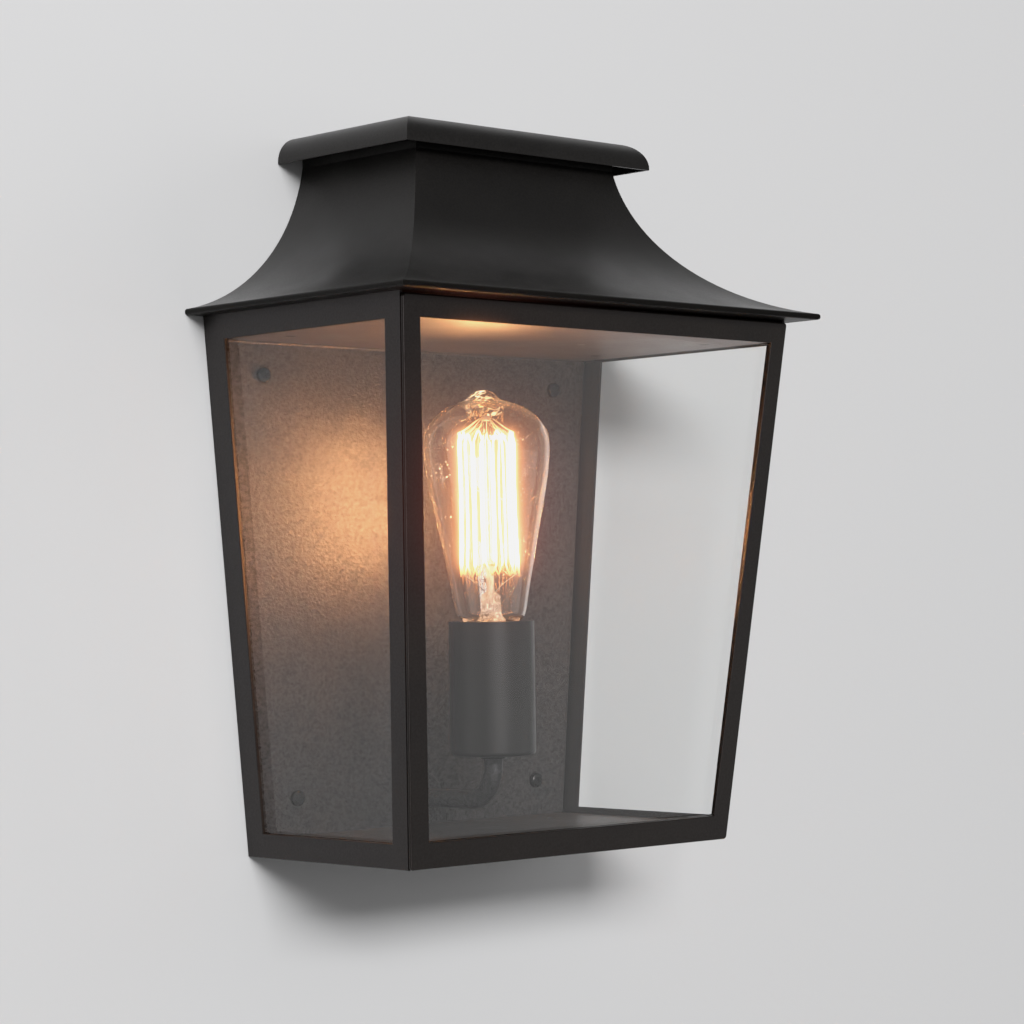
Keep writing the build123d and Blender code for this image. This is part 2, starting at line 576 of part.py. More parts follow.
with BuildPart() as roof_shell:
    r, l = bell(EAVE_W / 2, 0, ROOF_FOOT_H, NECK_H)
    top = zz(CAP_UNDER)
    with BuildSketch(Plane.XZ):
        with BuildLine():
            ThreePointArc(*r)
            Polyline(r[2], (r[2][0], top), (l[0][0], top), l[0])
            ThreePointArc(*l)
            Line(l[2], r[0])
        make_face()
    extrude(amount=EAVE_D)
    f = half_bell(EAVE_D, 0, ROOF_FOOT_H, NECK_H)
    with BuildSketch(Plane.YZ):
        with BuildLine():
            ThreePointArc(*f)
            Polyline(f[2], (f[2][0], top), (0, top), (0, f[0][1]), f[0])
        make_face()
    extrude(amount=200, both=True, mode=Mode.INTERSECT)
    fillet([e for e in roof_shell.faces().sort_by(Axis.Z)[-1].edges() if e.center().Y < -1], radius=2.0)
    add(roof_core.part, mode=Mode.SUBTRACT)
    with BuildSketch(level(CAP_UNDER)):
        with Locations((-40, -45), (40, -45)):
            Circle(2.2)
    extrude(amount=-5, mode=Mode.SUBTRACT)
roof_shell.part.label = "roof_shell"
export_step(roof_shell.part, "parts/roof_shell.step")

GROMMET_H = 305.0
with BuildPart() as roof_back:
    r, l = bell(EAVE_W / 2, ROOF_T + 0.12, ROOF_FOOT_H + 0.1, NECK_H)
    top = zz(CAP_UNDER - ROOF_T - 0.2)
    with BuildSketch(Plane.XZ.offset(4.0)):
        with BuildLine():
            ThreePointArc(*r)
            Polyline(r[2], (r[2][0], top), (l[0][0], top), l[0])
            ThreePointArc(*l)
            Line(l[2], r[0])
        make_face()
        with Locations((0, zz(GROMMET_H))):
            Circle(8.0, mode=Mode.SUBTRACT)
    extrude(amount=1.2)
roof_back.part.label = "roof_back"
export_step(roof_back.part, "parts/roof_back.step")

with BuildPart() as cable_grommet:
    with BuildSketch(Plane.XY.offset(zz(GROMMET_H))):
        Polygon((4.5, -1.0), (10.2, -1.0), (10.2, -3.98), (8.0, -3.98), (8.0, -5.22), (10.2, -5.22), (9.0, -8.4), (4.5, -8.4))
    revolve(axis=Axis((0, 0, zz(GROMMET_H)), (0, 1, 0)))
cable_grommet.part.label = "cable_grommet"
export_step(cable_grommet.part, "parts/cable_grommet.step")


with BuildPart() as cap_core:
    half, depth, rad, top, low = CAP_W / 2 - ROOF_T, CAP_D - ROOF_T, CAP_R - ROOF_T, zz(CAP_UNDER), zz(CAP_H0 - 2)
    with BuildSketch(Plane.XZ.offset(-1)):
        with BuildLine():
            Line((half, low), (half, top - rad))
            RadiusArc((half, top - rad), (half - rad, top), -rad)
            Line((half - rad, top), (rad - half, top))
            RadiusArc((rad - half, top), (-half, top - rad), -rad)
            Polyline((-half, top - rad), (-half, low), (half, low))
        make_face()
    extrude(amount=CAP_D + 2)
    with BuildSketch(Plane.YZ):
        with BuildLine():
            Line((-depth, low), (-depth, top - rad))
            RadiusArc((-depth, top - rad), (rad - depth, top), rad)
            Polyline((rad - depth, top), (2, top), (2, low), (-depth, low))
        make_face()
    extrude(amount=200, both=True, mode=Mode.INTERSECT)

with BuildPart() as roof_cap:
    half, depth, rad, top, low = CAP_W / 2, CAP_D, CAP_R, zz(CAP_H1), zz(CAP_H0)
    with BuildSketch(Plane.XZ):
        with BuildLine():
            Line((half, low), (half, top - rad))
            RadiusArc((half, top - rad), (half - rad, top), -rad)
            Line((half - rad, top), (rad - half, top))
            RadiusArc((rad - half, top), (-half, top - rad), -rad)
            Polyline((-half, top - rad), (-half, low), (half, low))
        make_face()
    extrude(amount=CAP_D)
    with BuildSketch(Plane.YZ):
        with BuildLine():
            Line((-depth, low), (-depth, top - rad))
            RadiusArc((-depth, top - rad), (rad - depth, top), rad)
            Polyline((rad - depth, top), (0, top), (0, low), (-depth, low))
        make_face()
    extrude(amount=200, both=True, mode=Mode.INTERSECT)
    add(cap_core.part, mode=Mode.SUBTRACT)
roof_cap.part.label = "roof_cap"
export_step(roof_cap.part, "parts/roof_cap.step")

with BuildPart() as cap_studs:
    with BuildSketch(level(CAP_UNDER)):
        with Locations((-40, -45), (40, -45)):
            Circle(2.0)
    extrude(amount=-9.0)
cap_studs.part.label = "cap_studs"
export_step(cap_studs.part, "parts/cap_studs.step")

with BuildPart() as cap_nuts:
    with BuildSketch(level(CAP_UNDER - ROOF_T)):
        with Locations((-40, -45), (40, -45)):
            RegularPolygon(4.04, 6)
            Circle(2.0, mode=Mode.SUBTRACT)
    extrude(amount=-3.2)
cap_nuts.part.label = "cap_nuts"
export_step(cap_nuts.part, "parts/cap_nuts.step")

# ------------------------------------------------------------------ wiring above the ceiling
BLOCK_H0 = CEIL_H + CEIL_T
WAYS = (-10.0, 0.0, 10.0)
with BuildPart() as terminal_block:
    with BuildSketch(level(BLOCK_H0)):
        Polygon((-17, -60), (17, -60), (17, -40), (-17, -40))
    extrude(amount=14.0)
    fillet(terminal_block.edges().filter_by(Axis.Z), radius=1.2)
    with BuildSketch(Plane.XZ.offset(30)):
        with Locations(*[(x, zz(BLOCK_H0 + 5.2)) for x in WAYS]):
            Circle(1.7)
    extrude(amount=40, mode=Mode.SUBTRACT)
    with BuildSketch(level(BLOCK_H0 + 14.0)):
        with Locations(*[(x, y) for x in WAYS for y in (-45.5, -54.5)]):
            Circle(2.1)
    extrude(amount=-7.5, mode=Mode.SUBTRACT)
terminal_block.part.label = "terminal_block"
export_step(terminal_block.part, "parts/terminal_block.step")

with BuildPart() as terminal_screws:
    with BuildSketch(level(BLOCK_H0 + 7.0)):
        with Locations(*[(x, y) for x in WAYS for y in (-45.5, -54.5)]):
            Circle(1.9)
    extrude(amount=4.0)
    with BuildSketch(level(BLOCK_H0 + 10.0)):
        with Locations(*[(x, y) for x in WAYS for y in (-45.5, -54.5)]):
            Rectangle(3.9, 0.7)
    extrude(amount=2.0, mode=Mode.SUBTRACT)
terminal_screws.part.label = "terminal_screws"
export_step(terminal_screws.part, "parts/terminal_screws.step")

WIRE_H, DROP_Y, WIRE_END_H = BLOCK_H0 + 5.2, 3.7, 71.9


def wire_route(x0, x1):
    return [
        (x0, -43.0, zz(WIRE_H)), (x0, -27.0, zz(WIRE_H)), (x1, -14.5, zz(WIRE_H)), (x1, -DROP_Y, zz(WIRE_H)),
        (x1, -DROP_Y, zz(ARM_H)), (x1, -LAMP_Y, zz(ARM_H)), (x1, -LAMP_Y, zz(WIRE_END_H)),
    ]


with BuildPart() as live_wire:
    pts = wire_route(WAYS[0], -1.5)
    with BuildLine() as live_path:
        FilletPolyline(*pts, radius=[8, 7, 6.5, 3.5, ARM_BEND])
    with BuildSketch(Plane(origin=pts[0], z_dir=(0, 1, 0))):
        Circle(WIRE_R)
    sweep()
live_wire.part.label = "live_wire"
export_step(live_wire.part, "parts/live_wire.step")
print("live wire length", round(live_path.wires()[0].length, 1), "volume ratio", round(live_wire.part.volume / (math.pi * WIRE_R**2 * live_path.wires()[0].length), 4))

with BuildPart() as neutral_wire:
    pts = wire_route(WAYS[1], 1.5)
    with BuildLine() as neutral_path:
        FilletPolyline(*pts, radius=[20, 20, 6.5, 3.5, ARM_BEND])
    with BuildSketch(Plane(origin=pts[0], z_dir=(0, 1, 0))):
        Circle(WIRE_R)
    sweep()
neutral_wire.part.label = "neutral_wire"
export_step(neutral_wire.part, "parts/neutral_wire.step")
print("neutral wire length", round(neutral_path.wires()[0].length, 1))

with BuildPart() as earth_wire:
    pts = [(WAYS[2], -57.0, zz(WIRE_H)), (WAYS[2], -73.0, zz(WIRE_H)), (45.0, -82.5, zz(BLOCK_H0 + 1.4))]
    with BuildLine() as earth_path:
        FilletPolyline(*pts, radius=10)
    with BuildSketch(Plane(origin=pts[0], z_dir=(0, -1, 0))):
        Circle(WIRE_R)
    sweep()
earth_wire.part.label = "earth_wire"
export_step(earth_wire.part, "parts/earth_wire.step")
print("earth wire length", round(earth_path.wires()[0].length, 1))

with BuildPart() as earth_stud:
    with BuildSketch(level(CEIL_H)):
        with Locations((50.0, -80.0)):
            Circle(2.0)
    extrude(amount=9.0)
earth_stud.part.label = "earth_stud"
export_step(earth_stud.part, "parts/earth_stud.step")

with BuildPart() as earth_nut:
    with BuildSketch(level(BLOCK_H0 + 0.05)):
        with Locations((50.0, -80.0)):
            Circle(4.5)
            Circle(2.0, mode=Mode.SUBTRACT)
    extrude(amount=0.8)
    with BuildSketch(level(BLOCK_H0 + 0.85)):
        with Locations((50.0, -80.0)):
            RegularPolygon(4.04, 6)
            Circle(2.0, mode=Mode.SUBTRACT)
    extrude(amount=3.2)
earth_nut.part.label = "earth_nut"
export_step(earth_nut.part, "parts/earth_nut.step")

# ------------------------------------------------------------------ lamp arm and lampholder
with BuildPart() as lamp_arm:
    with BuildLine() as arm_path:
        FilletPolyline((0, -5.0, zz(ARM_H)), (0, -LAMP_Y, zz(ARM_H)), (0, -LAMP_Y, zz(51.5)), radius=ARM_BEND)
    with BuildSketch(Plane(origin=(0, -5.0, zz(ARM_H)), z_dir=(0, -1, 0))):
        Circle(ARM_R)
        Circle(ARM_BORE, mode=Mode.SUBTRACT)
    sweep()
lamp_arm.part.label = "lamp_arm"
export_step(lamp_arm.part, "parts/lamp_arm.step")

with BuildPart() as arm_rose:
    with BuildSketch(Plane.XZ.offset(PANEL_Y)):
        with Locations((0, zz(ARM_H))):
            Circle(13.0)
    extrude(amount=2.5)
    fillet(arm_rose.faces().filter_by(Axis.Y).sort_by(Axis.Y)[0].edges(), radius=1.0)
    with BuildSketch(Plane.XZ.offset(PANEL_Y)):
        with Locations((0, zz(ARM_H))):
            Circle(ARM_R + 0.02)
        with Locations((9.3, zz(ARM_H)), (-9.3, zz(ARM_H))):
            Circle(1.6)
    extrude(amount=4, mode=Mode.SUBTRACT)
arm_rose.part.label = "arm_rose"
export_step(arm_rose.part, "parts/arm_rose.step")

with BuildPart() as arm_screws:
    with BuildSketch(Plane.XZ.offset(PANEL_Y + 2.5)):
        with Locations((9.3, zz(ARM_H)), (-9.3, zz(ARM_H))):
            Circle(2.7)
    extrude(amount=1.6)
    fillet(arm_screws.faces().filter_by(Axis.Y).group_by(Axis.Y)[0].edges(), radius=0.9)
    with BuildSketch(Plane.XZ.offset(4.4)):
        with Locations((9.3, zz(ARM_H)), (-9.3, zz(ARM_H))):
            Circle(1.45)
    extrude(amount=PANEL_Y + 2.6 - 4.4)
    with BuildSketch(Plane.XZ.offset(PANEL_Y + 3.3)):
        with Locations((9.3, zz(ARM_H)), (-9.3, zz(ARM_H))):
            Rectangle(0.8, 6.0)
    extrude(amount=2.0, mode=Mode.SUBTRACT)
arm_screws.part.label = "arm_screws"
export_step(arm_screws.part, "parts/arm_screws.step")


def lamp_level(h):
    return Plane(origin=(0, -LAMP_Y, zz(h)))


with BuildPart() as lampholder_cover:
    with BuildSketch(lamp_level(HOLDER_H0)):
        Circle(HOLDER_R)
    extrude(amount=HOLDER_H1 - HOLDER_H0)
    fillet(lampholder_cover.faces().sort_by(Axis.Z)[0].edges(), radius=2.2)
    with BuildSketch(lamp_level(HOLDER_H0 + 1.5)):
        Circle(HOLDER_R - 1.5)
    extrude(amount=100, mode=Mode.SUBTRACT)
    fillet(lampholder_cover.faces().sort_by(Axis.Z)[-1].edges(), radius=0.5)
    with BuildSketch(lamp_level(HOLDER_H0)):
        Circle(ARM_R + 0.1)
    extrude(amount=5, mode=Mode.SUBTRACT)
lampholder_cover.part.label = "lampholder_cover"
export_step(lampholder_cover.part, "parts/lampholder_cover.step")

with BuildPart() as holder_collar:
    with BuildSketch(lamp_level(HOLDER_H0 - 1.8)):
        Circle(6.6)
    extrude(amount=1.8)
    fillet(holder_collar.faces().sort_by(Axis.Z)[0].edges(), radius=0.5)
    with BuildSketch(lamp_level(HOLDER_H0 - 1.8)):
        Circle(ARM_R + 0.02)
    extrude(amount=3, mode=Mode.SUBTRACT)
holder_collar.part.label = "holder_collar"
export_step(holder_collar.part, "parts/holder_collar.step")

with BuildPart() as holder_nut:
    with BuildSketch(lamp_level(HOLDER_H0 + 1.5)):
        RegularPolygon(8.1, 6)
        Circle(ARM_R + 0.02, mode=Mode.SUBTRACT)
    extrude(amount=3.0)
holder_nut.part.label = "holder_nut"
export_step(holder_nut.part, "parts/holder_nut.step")

INSERT_FLOOR, INSERT_TOP, SHELL_R = 86.0, 110.8, 14.3
with BuildPart() as lampholder_insert:
    with BuildSketch(lamp_level(HOLDER_H0 + 1.5)):
        Circle(HOLDER_R - 1.7)
    extrude(amount=INSERT_TOP - HOLDER_H0 - 1.5)
    fillet(lampholder_insert.faces().sort_by(Axis.Z)[-1].edges(), radius=0.8)
    with BuildSketch(lamp_level(HOLDER_H0 + 1.5)):
        Circle(16.8)
    extrude(amount=72.0 - HOLDER_H0 - 1.5, mode=Mode.SUBTRACT)
    with BuildSketch(lamp_level(INSERT_FLOOR)):
        Circle(SHELL_R)
    extrude(amount=60, mode=Mode.SUBTRACT)
lampholder_insert.part.label = "lampholder_insert"
export_step(lampholder_insert.part, "parts/lampholder_insert.step")

with BuildPart() as thread_shell:
    with BuildSketch(lamp_level(91.0)):
        Circle(SHELL_R)
        Circle(13.65, mode=Mode.SUBTRACT)
    extrude(amount=19.0)
thread_shell.part.label = "thread_shell"
export_step(thread_shell.part, "parts/thread_shell.step")

with BuildPart() as centre_contact:
    with BuildSketch(lamp_level(INSERT_FLOOR)):
        Rectangle(18.0, 6.0)
    extrude(amount=0.8)
    with BuildSketch(lamp_level(INSERT_FLOOR + 0.8)):
        Circle(2.6)
    extrude(amount=1.5)
    fillet(centre_contact.faces().sort_by(Axis.Z)[-1].edges(), radius=0.7)
centre_contact.part.label = "centre_contact"
export_step(centre_contact.part, "parts/centre_contact.step")

# ------------------------------------------------------------------ lamp
# outline of the glass: radius, height
GLASS = (
    (8.8, 226.1), (12.4, 225.1), (21.7, 221.0), (27.4, 215.9), (30.5, 210.8), (31.8, 205.8), (32.0, 201.5),
    (31.6, 195.7), (30.4, 185.6), (28.5, 175.5), (26.5, 165.4), (24.5, 155.3), (22.6, 145.1), (20.7, 135.0),
    (18.9, 124.9), (18.0, 119.9), (16.9, 116.7), (15.2, 114.8), (13.6, 113.8), (12.6, 112.9),
)
NECK_R, NECK_LOW = 12.2, 108.5
SKIN = 0.8


def glass_profile(t):
    """The lamp glass's outline, t mm inside its outer face, as points: nib, then flank."""
    pts = []
    for i, (r, h) in enumerate(GLASS):
        a, b = GLASS[max(i - 1, 0)], GLASS[min(i + 1, len(GLASS) - 1)]
        dx, dy = b[0] - a[0], b[1] - a[1]
        n = math.hypot(dx, dy)
        pts.append((r + dy / n * t, zz(h - dx / n * t)))
    return pts


def nib_profile(t):
    return [(0, zz(231.2 - t)), (4.6 - t * 0.4, zz(230.1 - t * 0.9)), (7.4 - t * 0.6, zz(227.9 - t * 0.7)), glass_profile(t)[0]]


AXIS_LAMP = Axis((0, -LAMP_Y, 0), (0, 0, 1))
LAMP_XZ = Plane(origin=(0, -LAMP_Y, 0), x_dir=(1, 0, 0), z_dir=(0, -1, 0))
with BuildPart() as bulb_glass:
    with BuildSketch(LAMP_XZ):
        with BuildLine():
            Spline(*nib_profile(0), tangents=((1, 0), (0.75, -0.5)))
            Spline(*glass_profile(0), (NECK_R, zz(111.6)), tangents=((1, -0.12), (0, -1)))
            Polyline((NECK_R, zz(111.6)), (NECK_R, zz(NECK_LOW)), (0, zz(NECK_LOW)), (0, zz(231.2)))
        make_face()
    revolve(axis=AXIS_LAMP)
    with BuildSketch(LAMP_XZ):
        with BuildLine():
            Spline(*nib_profile(SKIN), tangents=((1, 0), (0.75, -0.5)))
            Spline(*glass_profile(SKIN), (NECK_R - SKIN, zz(111.6)), tangents=((1, -0.12), (0, -1)))
            Polyline((NECK_R - SKIN, zz(111.6)), (NECK_R - SKIN, zz(NECK_LOW)), (0, zz(NECK_LOW)), (0, zz(231.2 - SKIN)))
        make_face()
    revolve(axis=AXIS_LAMP, mode=Mode.SUBTRACT)
bulb_glass.part.label = "bulb_glass"
export_step(bulb_glass.part, "parts/bulb_glass.step")

# screw cap with rounded thread crests
CAP_LOW, CAP_TOP, PITCH = 93.0, 111.4, 3.629
with BuildPart() as bulb_cap:
    with BuildSketch(LAMP_XZ):
        with BuildLine():
            crest = [(12.85 + 0.4 * math.cos(2 * math.pi * (h - 96.0) / PITCH), zz(h)) for h in [95.0 + 0.25 * PITCH * i for i in range(17)]]
            Polyline((12.3, zz(CAP_LOW + 1.8)), (11.3, zz(CAP_LOW)), (11.9, zz(CAP_LOW)), crest[0])
            Spline(*crest)
            Polyline(crest[-1], (13.1, zz(CAP_TOP)), (12.3, zz(CAP_TOP)), (12.3, zz(CAP_LOW + 1.8)))
        make_face()
    revolve(axis=AXIS_LAMP)
bulb_cap.part.label = "bulb_cap"
export_step(bulb_cap.part, "parts/bulb_cap.step")

with BuildPart() as bulb_insulator:
    with BuildSketch(LAMP_XZ):
        with BuildLine():
            Polyline((0, zz(94.6)), (11.2, zz(94.6)), (11.2, zz(CAP_LOW - 0.1)), (5.4, zz(89.6)), (0, zz(89.6)), close=True)
        make_face()
    revolve(axis=AXIS_LAMP)
bulb_insulator.part.label = "bulb_insulator"
export_step(bulb_insulator.part, "parts/bulb_insulator.step")

with BuildPart() as bulb_contact:
    with BuildSketch(lamp_level(89.55)):
        Circle(4.8)
    extrude(amount=-1.0)
    fillet(bulb_contact.faces().sort_by(Axis.Z)[0].edges(), radius=0.7)
bulb_contact.part.label = "bulb_contact"
export_step(bulb_contact.part, "parts/bulb_contact.step")

# glass stem: flare, press, rod with a button, thin rod to the top
BUTTON_H, BUTTON_R, ROD_R = 143.0, 3.0, 1.3
with BuildPart() as bulb_stem:
    with BuildSketch(LAMP_XZ):
        with BuildLine():
            Polyline((0, zz(111.0)), (9.4, zz(111.0)), (9.4, zz(112.0)))
            Spline((9.4, zz(112.0)), (6.6, zz(114.6)), (5.0, zz(119.5)), tangents=((-0.6, 1), (-0.05, 1)))
            Polyline((5.0, zz(119.5)), (4.8, zz(126.5)))
            Spline((4.8, zz(126.5)), (3.9, zz(128.3)), (2.0, zz(129.6)), tangents=((-0.1, 1), (-1, 0.3)))
            Polyline(
                (2.0, zz(129.6)), (2.0, zz(BUTTON_H - 2.0)), (BUTTON_R, zz(BUTTON_H - 1.0)), (BUTTON_R, zz(BUTTON_H + 1.0)),
                (ROD_R, zz(BUTTON_H + 2.2)), (ROD_R, zz(218.0)), (0, zz(219.0)), (0, zz(111.0)),
            )
        make_face()
    revolve(axis=AXIS_LAMP)
bulb_stem.part.label = "bulb_stem"
export_step(bulb_stem.part, "parts/bulb_stem.step")

STRANDS, CAGE_R, CAGE_LOW, CAGE_TOP = 18, 14.6, 137.6, 210.7
with BuildPart() as filament:
    with BuildSketch(lamp_level(CAGE_LOW)):
        with PolarLocations(CAGE_R, STRANDS):
            Circle(0.3)
    extrude(amount=CAGE_TOP - CAGE_LOW)
filament.part.label = "filament"
export_step(filament.part, "parts/filament.step")

# wires that carry the strands' bends: a spider from the rod's top, another from the button
HUB_H = 216.5
with BuildPart() as filament_supports:
    for h, r0, drop, turn, hub in ((HUB_H, 1.7, 5.5, 0.0, 2.4), (BUTTON_H, 3.2, 6.0, 20.0, 3.6)):
        for i in range(STRANDS // 2):
            a = math.radians(turn + 720.0 * i / STRANDS)
            reach = math.hypot(CAGE_R + 0.4 - r0, drop)
            with BuildSketch(Plane(
                origin=(r0 * math.cos(a), -LAMP_Y + r0 * math.sin(a), zz(h)),
                z_dir=((CAGE_R + 0.4 - r0) * math.cos(a), (CAGE_R + 0.4 - r0) * math.sin(a), -drop),
            )):
                Circle(0.25)
            extrude(amount=reach)
        with BuildSketch(lamp_level(h - 0.9)):
            Circle(hub)
            Circle((ROD_R if h == HUB_H else BUTTON_R) + 0.02, mode=Mode.SUBTRACT)
        extrude(amount=1.8)
filament_supports.part.label = "filament_supports"
export_step(filament_supports.part, "parts/filament_supports.step")

with BuildPart() as bulb_leads:
    for s in (-1, 1):
        with BuildSketch(lamp_level(96.0)):
            with Locations((s * 2.8, 0)):
                Circle(0.4)
        extrude(amount=14.9)
bulb_leads.part.label = "bulb_leads"
export_step(bulb_leads.part, "parts/bulb_leads.step")
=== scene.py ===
import json
import math
import random

import bpy
from mathutils import Matrix, Vector


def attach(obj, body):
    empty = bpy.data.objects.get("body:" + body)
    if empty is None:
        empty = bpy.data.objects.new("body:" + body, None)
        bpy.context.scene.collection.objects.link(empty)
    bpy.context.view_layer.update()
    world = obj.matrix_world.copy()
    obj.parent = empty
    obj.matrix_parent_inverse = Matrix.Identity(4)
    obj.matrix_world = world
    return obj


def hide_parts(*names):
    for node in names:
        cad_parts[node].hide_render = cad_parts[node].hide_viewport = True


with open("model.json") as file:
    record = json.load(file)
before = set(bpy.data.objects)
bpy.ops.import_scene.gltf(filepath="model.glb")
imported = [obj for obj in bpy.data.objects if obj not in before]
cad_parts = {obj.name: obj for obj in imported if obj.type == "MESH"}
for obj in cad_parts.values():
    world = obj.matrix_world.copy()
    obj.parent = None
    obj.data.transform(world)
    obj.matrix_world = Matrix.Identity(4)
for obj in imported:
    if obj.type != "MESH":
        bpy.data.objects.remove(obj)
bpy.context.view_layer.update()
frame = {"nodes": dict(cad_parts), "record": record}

scene = bpy.context.scene
cad = frame["nodes"]
rng = random.Random(64)

MM = 0.001
BODY_BOTTOM = -0.133          # the body's bottom edge in the row frame
LAMP_Y = -0.06275             # lamp axis
FLOOR_Z = -1.30
YAW, PITCH_UP, ROLL, FOCAL = 0.7538026, 0.0293095, -0.0160201, 2865.2942   # camera, solved from the frame's corners
LAMP_RGB = (1.0, 0.43, 0.158)
FILAMENT_POWER = 126.0
KEY_POWER = 137.0
LAMP_LEAN = 0.0115            # the lamp stands a little crooked in its holder


def at(h):
    """Row-frame height of a point h mm above the body's bottom edge."""
    return BODY_BOTTOM + h * MM


# ------------------------------------------------------------------ materials
class Finish:
    """A node material under construction."""

    def __init__(self, name):
        self.mat = bpy.data.materials.new(name)
        self.mat.use_nodes = True
        self.tree = self.mat.node_tree
        self.tree.nodes.clear()
        self.out = self.tree.nodes.new("ShaderNodeOutputMaterial")

    def node(self, kind, inputs=None, **props):
        n = self.tree.nodes.new(kind)
        for k, v in props.items():
            setattr(n, k, v)
        for k, v in (inputs or {}).items():
            self.feed(n.inputs[k], v)
        return n

    def feed(self, socket, v):
        if isinstance(v, bpy.types.NodeSocket):
            self.tree.links.new(v, socket)
        elif isinstance(v, tuple) and len(v) == 3 and len(socket.default_value) == 4:
            socket.default_value = (*v, 1.0)
        else:
            socket.default_value = v

    def coords(self):
        return self.node("ShaderNodeTexCoord").outputs["Object"]

    def noise(self, scale, detail=2.0, rough=0.5, vector=None, stretch=None):
        v = vector or self.coords()
        if stretch:
            v = self.node("ShaderNodeMapping", {"Vector": v, "Scale": stretch}).outputs[0]
        return self.node(
            "ShaderNodeTexNoise",
            {"Vector": v, "Scale": scale, "Detail": detail, "Roughness": rough},
        ).outputs[0]

    def math(self, op, a, b=None, c=None, clamp=False):
        n = self.node("ShaderNodeMath", operation=op, use_clamp=clamp)
        for i, v in enumerate((a, b, c)):
            if v is not None:
                self.feed(n.inputs[i], v)
        return n.outputs[0]

    def span(self, v, a, b, lo, hi):
        """v from a..b mapped onto lo..hi, clamped."""
        return self.node(
            "ShaderNodeMapRange",
            {"Value": v, "From Min": a, "From Max": b, "To Min": lo, "To Max": hi},
        ).outputs[0]

    def blend(self, f, a, b, kind="MIX"):
        n = self.node("ShaderNodeMix", data_type="RGBA", blend_type=kind)
        self.feed(n.inputs[0], f)
        self.feed(n.inputs[6], a)
        self.feed(n.inputs[7], b)
        return n.outputs[2]

    def bump(self, height, strength, distance, normal=None):
        i = {"Height": height, "Strength": strength, "Distance": distance}
        if normal:
            i["Normal"] = normal
        return self.node("ShaderNodeBump", i).outputs[0]

    def shader(self, inputs):
        b = self.node("ShaderNodeBsdfPrincipled", inputs)
        self.finish(b.outputs[0])
        return self.mat

    def finish(self, socket):
        self.tree.links.new(socket, self.out.inputs["Surface"])
        return self.mat


def grey(v, warm=0.0):
    return (v * (1 + warm), v, v * (1 - warm))


def powder_coat(name, tone, rough, peel, depth, warm=0.04, spread=0.3, gloss=0.5, ripple=0.12, drawn=(1.0, 1.0, 1.0), dusty=0.10, tint=(1.0, 0.955, 0.93)):
    """Stoved powder coat: slow tone drift, orange peel, fine grain, dust on upward faces."""
    f = Finish(name)
    slow = f.noise(28.0, 3.0, 0.55)
    peel_n = f.noise(peel, 2.0, 0.45, stretch=drawn)
    grain = f.noise(peel * 3.3, 1.0, 0.5, stretch=drawn)
    colour = f.blend(f.span(slow, 0.3, 0.7, 0.0, 1.0), grey(tone * (1 - spread), warm), grey(tone * (1 + spread), warm))
    up = f.node("ShaderNodeSeparateXYZ", {"Vector": f.node("ShaderNodeNewGeometry").outputs["Normal"]}).outputs[2]
    dust = f.math("MULTIPLY", f.span(up, 0.55, 1.0, 0.0, dusty), f.span(f.noise(90.0, 5.0, 0.7), 0.42, 0.72, 0.0, 1.0))
    colour = f.blend(dust, colour, (0.11, 0.105, 0.098))
    r = f.math("ADD", f.span(slow, 0.3, 0.7, rough - 0.04, rough + 0.04), f.span(peel_n, 0.35, 0.65, -0.03, 0.03))
    height = f.math("ADD", f.math("MULTIPLY", peel_n, 0.8), f.math("MULTIPLY", grain, 0.2))
    return f.shader({
        "Base Color": colour, "Roughness": r, "IOR": 1.5, "Specular IOR Level": f.span(peel_n, 0.32, 0.68, gloss * (1 - ripple), gloss * (1 + ripple)), "Specular Tint": tint,
        "Normal": f.bump(height, 0.6, depth),
    })


def metal(name, base, rough, brush=(1.0, 1.0, 1.0), scale=900.0, depth=0.00001, spread=0.12):
    f = Finish(name)
    n = f.noise(scale, 3.0, 0.6, stretch=brush)
    slow = f.noise(120.0, 3.0, 0.6)
    lo = tuple(c * (1 - spread) for c in base)
    hi = tuple(min(1.0, c * (1 + spread)) for c in base)
    return f.shader({
        "Base Color": f.blend(f.span(slow, 0.3, 0.7, 0.0, 1.0), lo, hi), "Metallic": 1.0,
        "Roughness": f.math("ADD", f.span(n, 0.3, 0.7, rough * 0.75, rough * 1.25), f.span(slow, 0.35, 0.65, -0.03, 0.05)),
        "Normal": f.bump(n, 0.5, depth),
    })


def moulded(name, lo, hi, rough, scale=700.0, depth=0.00002, spec=0.5):
    f = Finish(name)
    n = f.noise(scale, 3.0, 0.6)
    slow = f.noise(70.0, 3.0, 0.6)
    return f.shader({
        "Base Color": f.blend(f.span(slow, 0.3, 0.7, 0.0, 1.0), lo, hi), "Specular IOR Level": spec,
        "Roughness": f.span(n, 0.3, 0.7, rough - 0.06, rough + 0.06), "Normal": f.bump(n, 0.4, depth),
    })


def reflectance(f, base=0.04):
    """Schlick's curve, the same from both sides of a thin sheet."""
    facing = f.node("ShaderNodeLayerWeight", {"Blend": 0.5}).outputs["Facing"]
    return f.math("MULTIPLY_ADD", f.math("POWER", facing, 5.0), 1.0 - base, base), facing


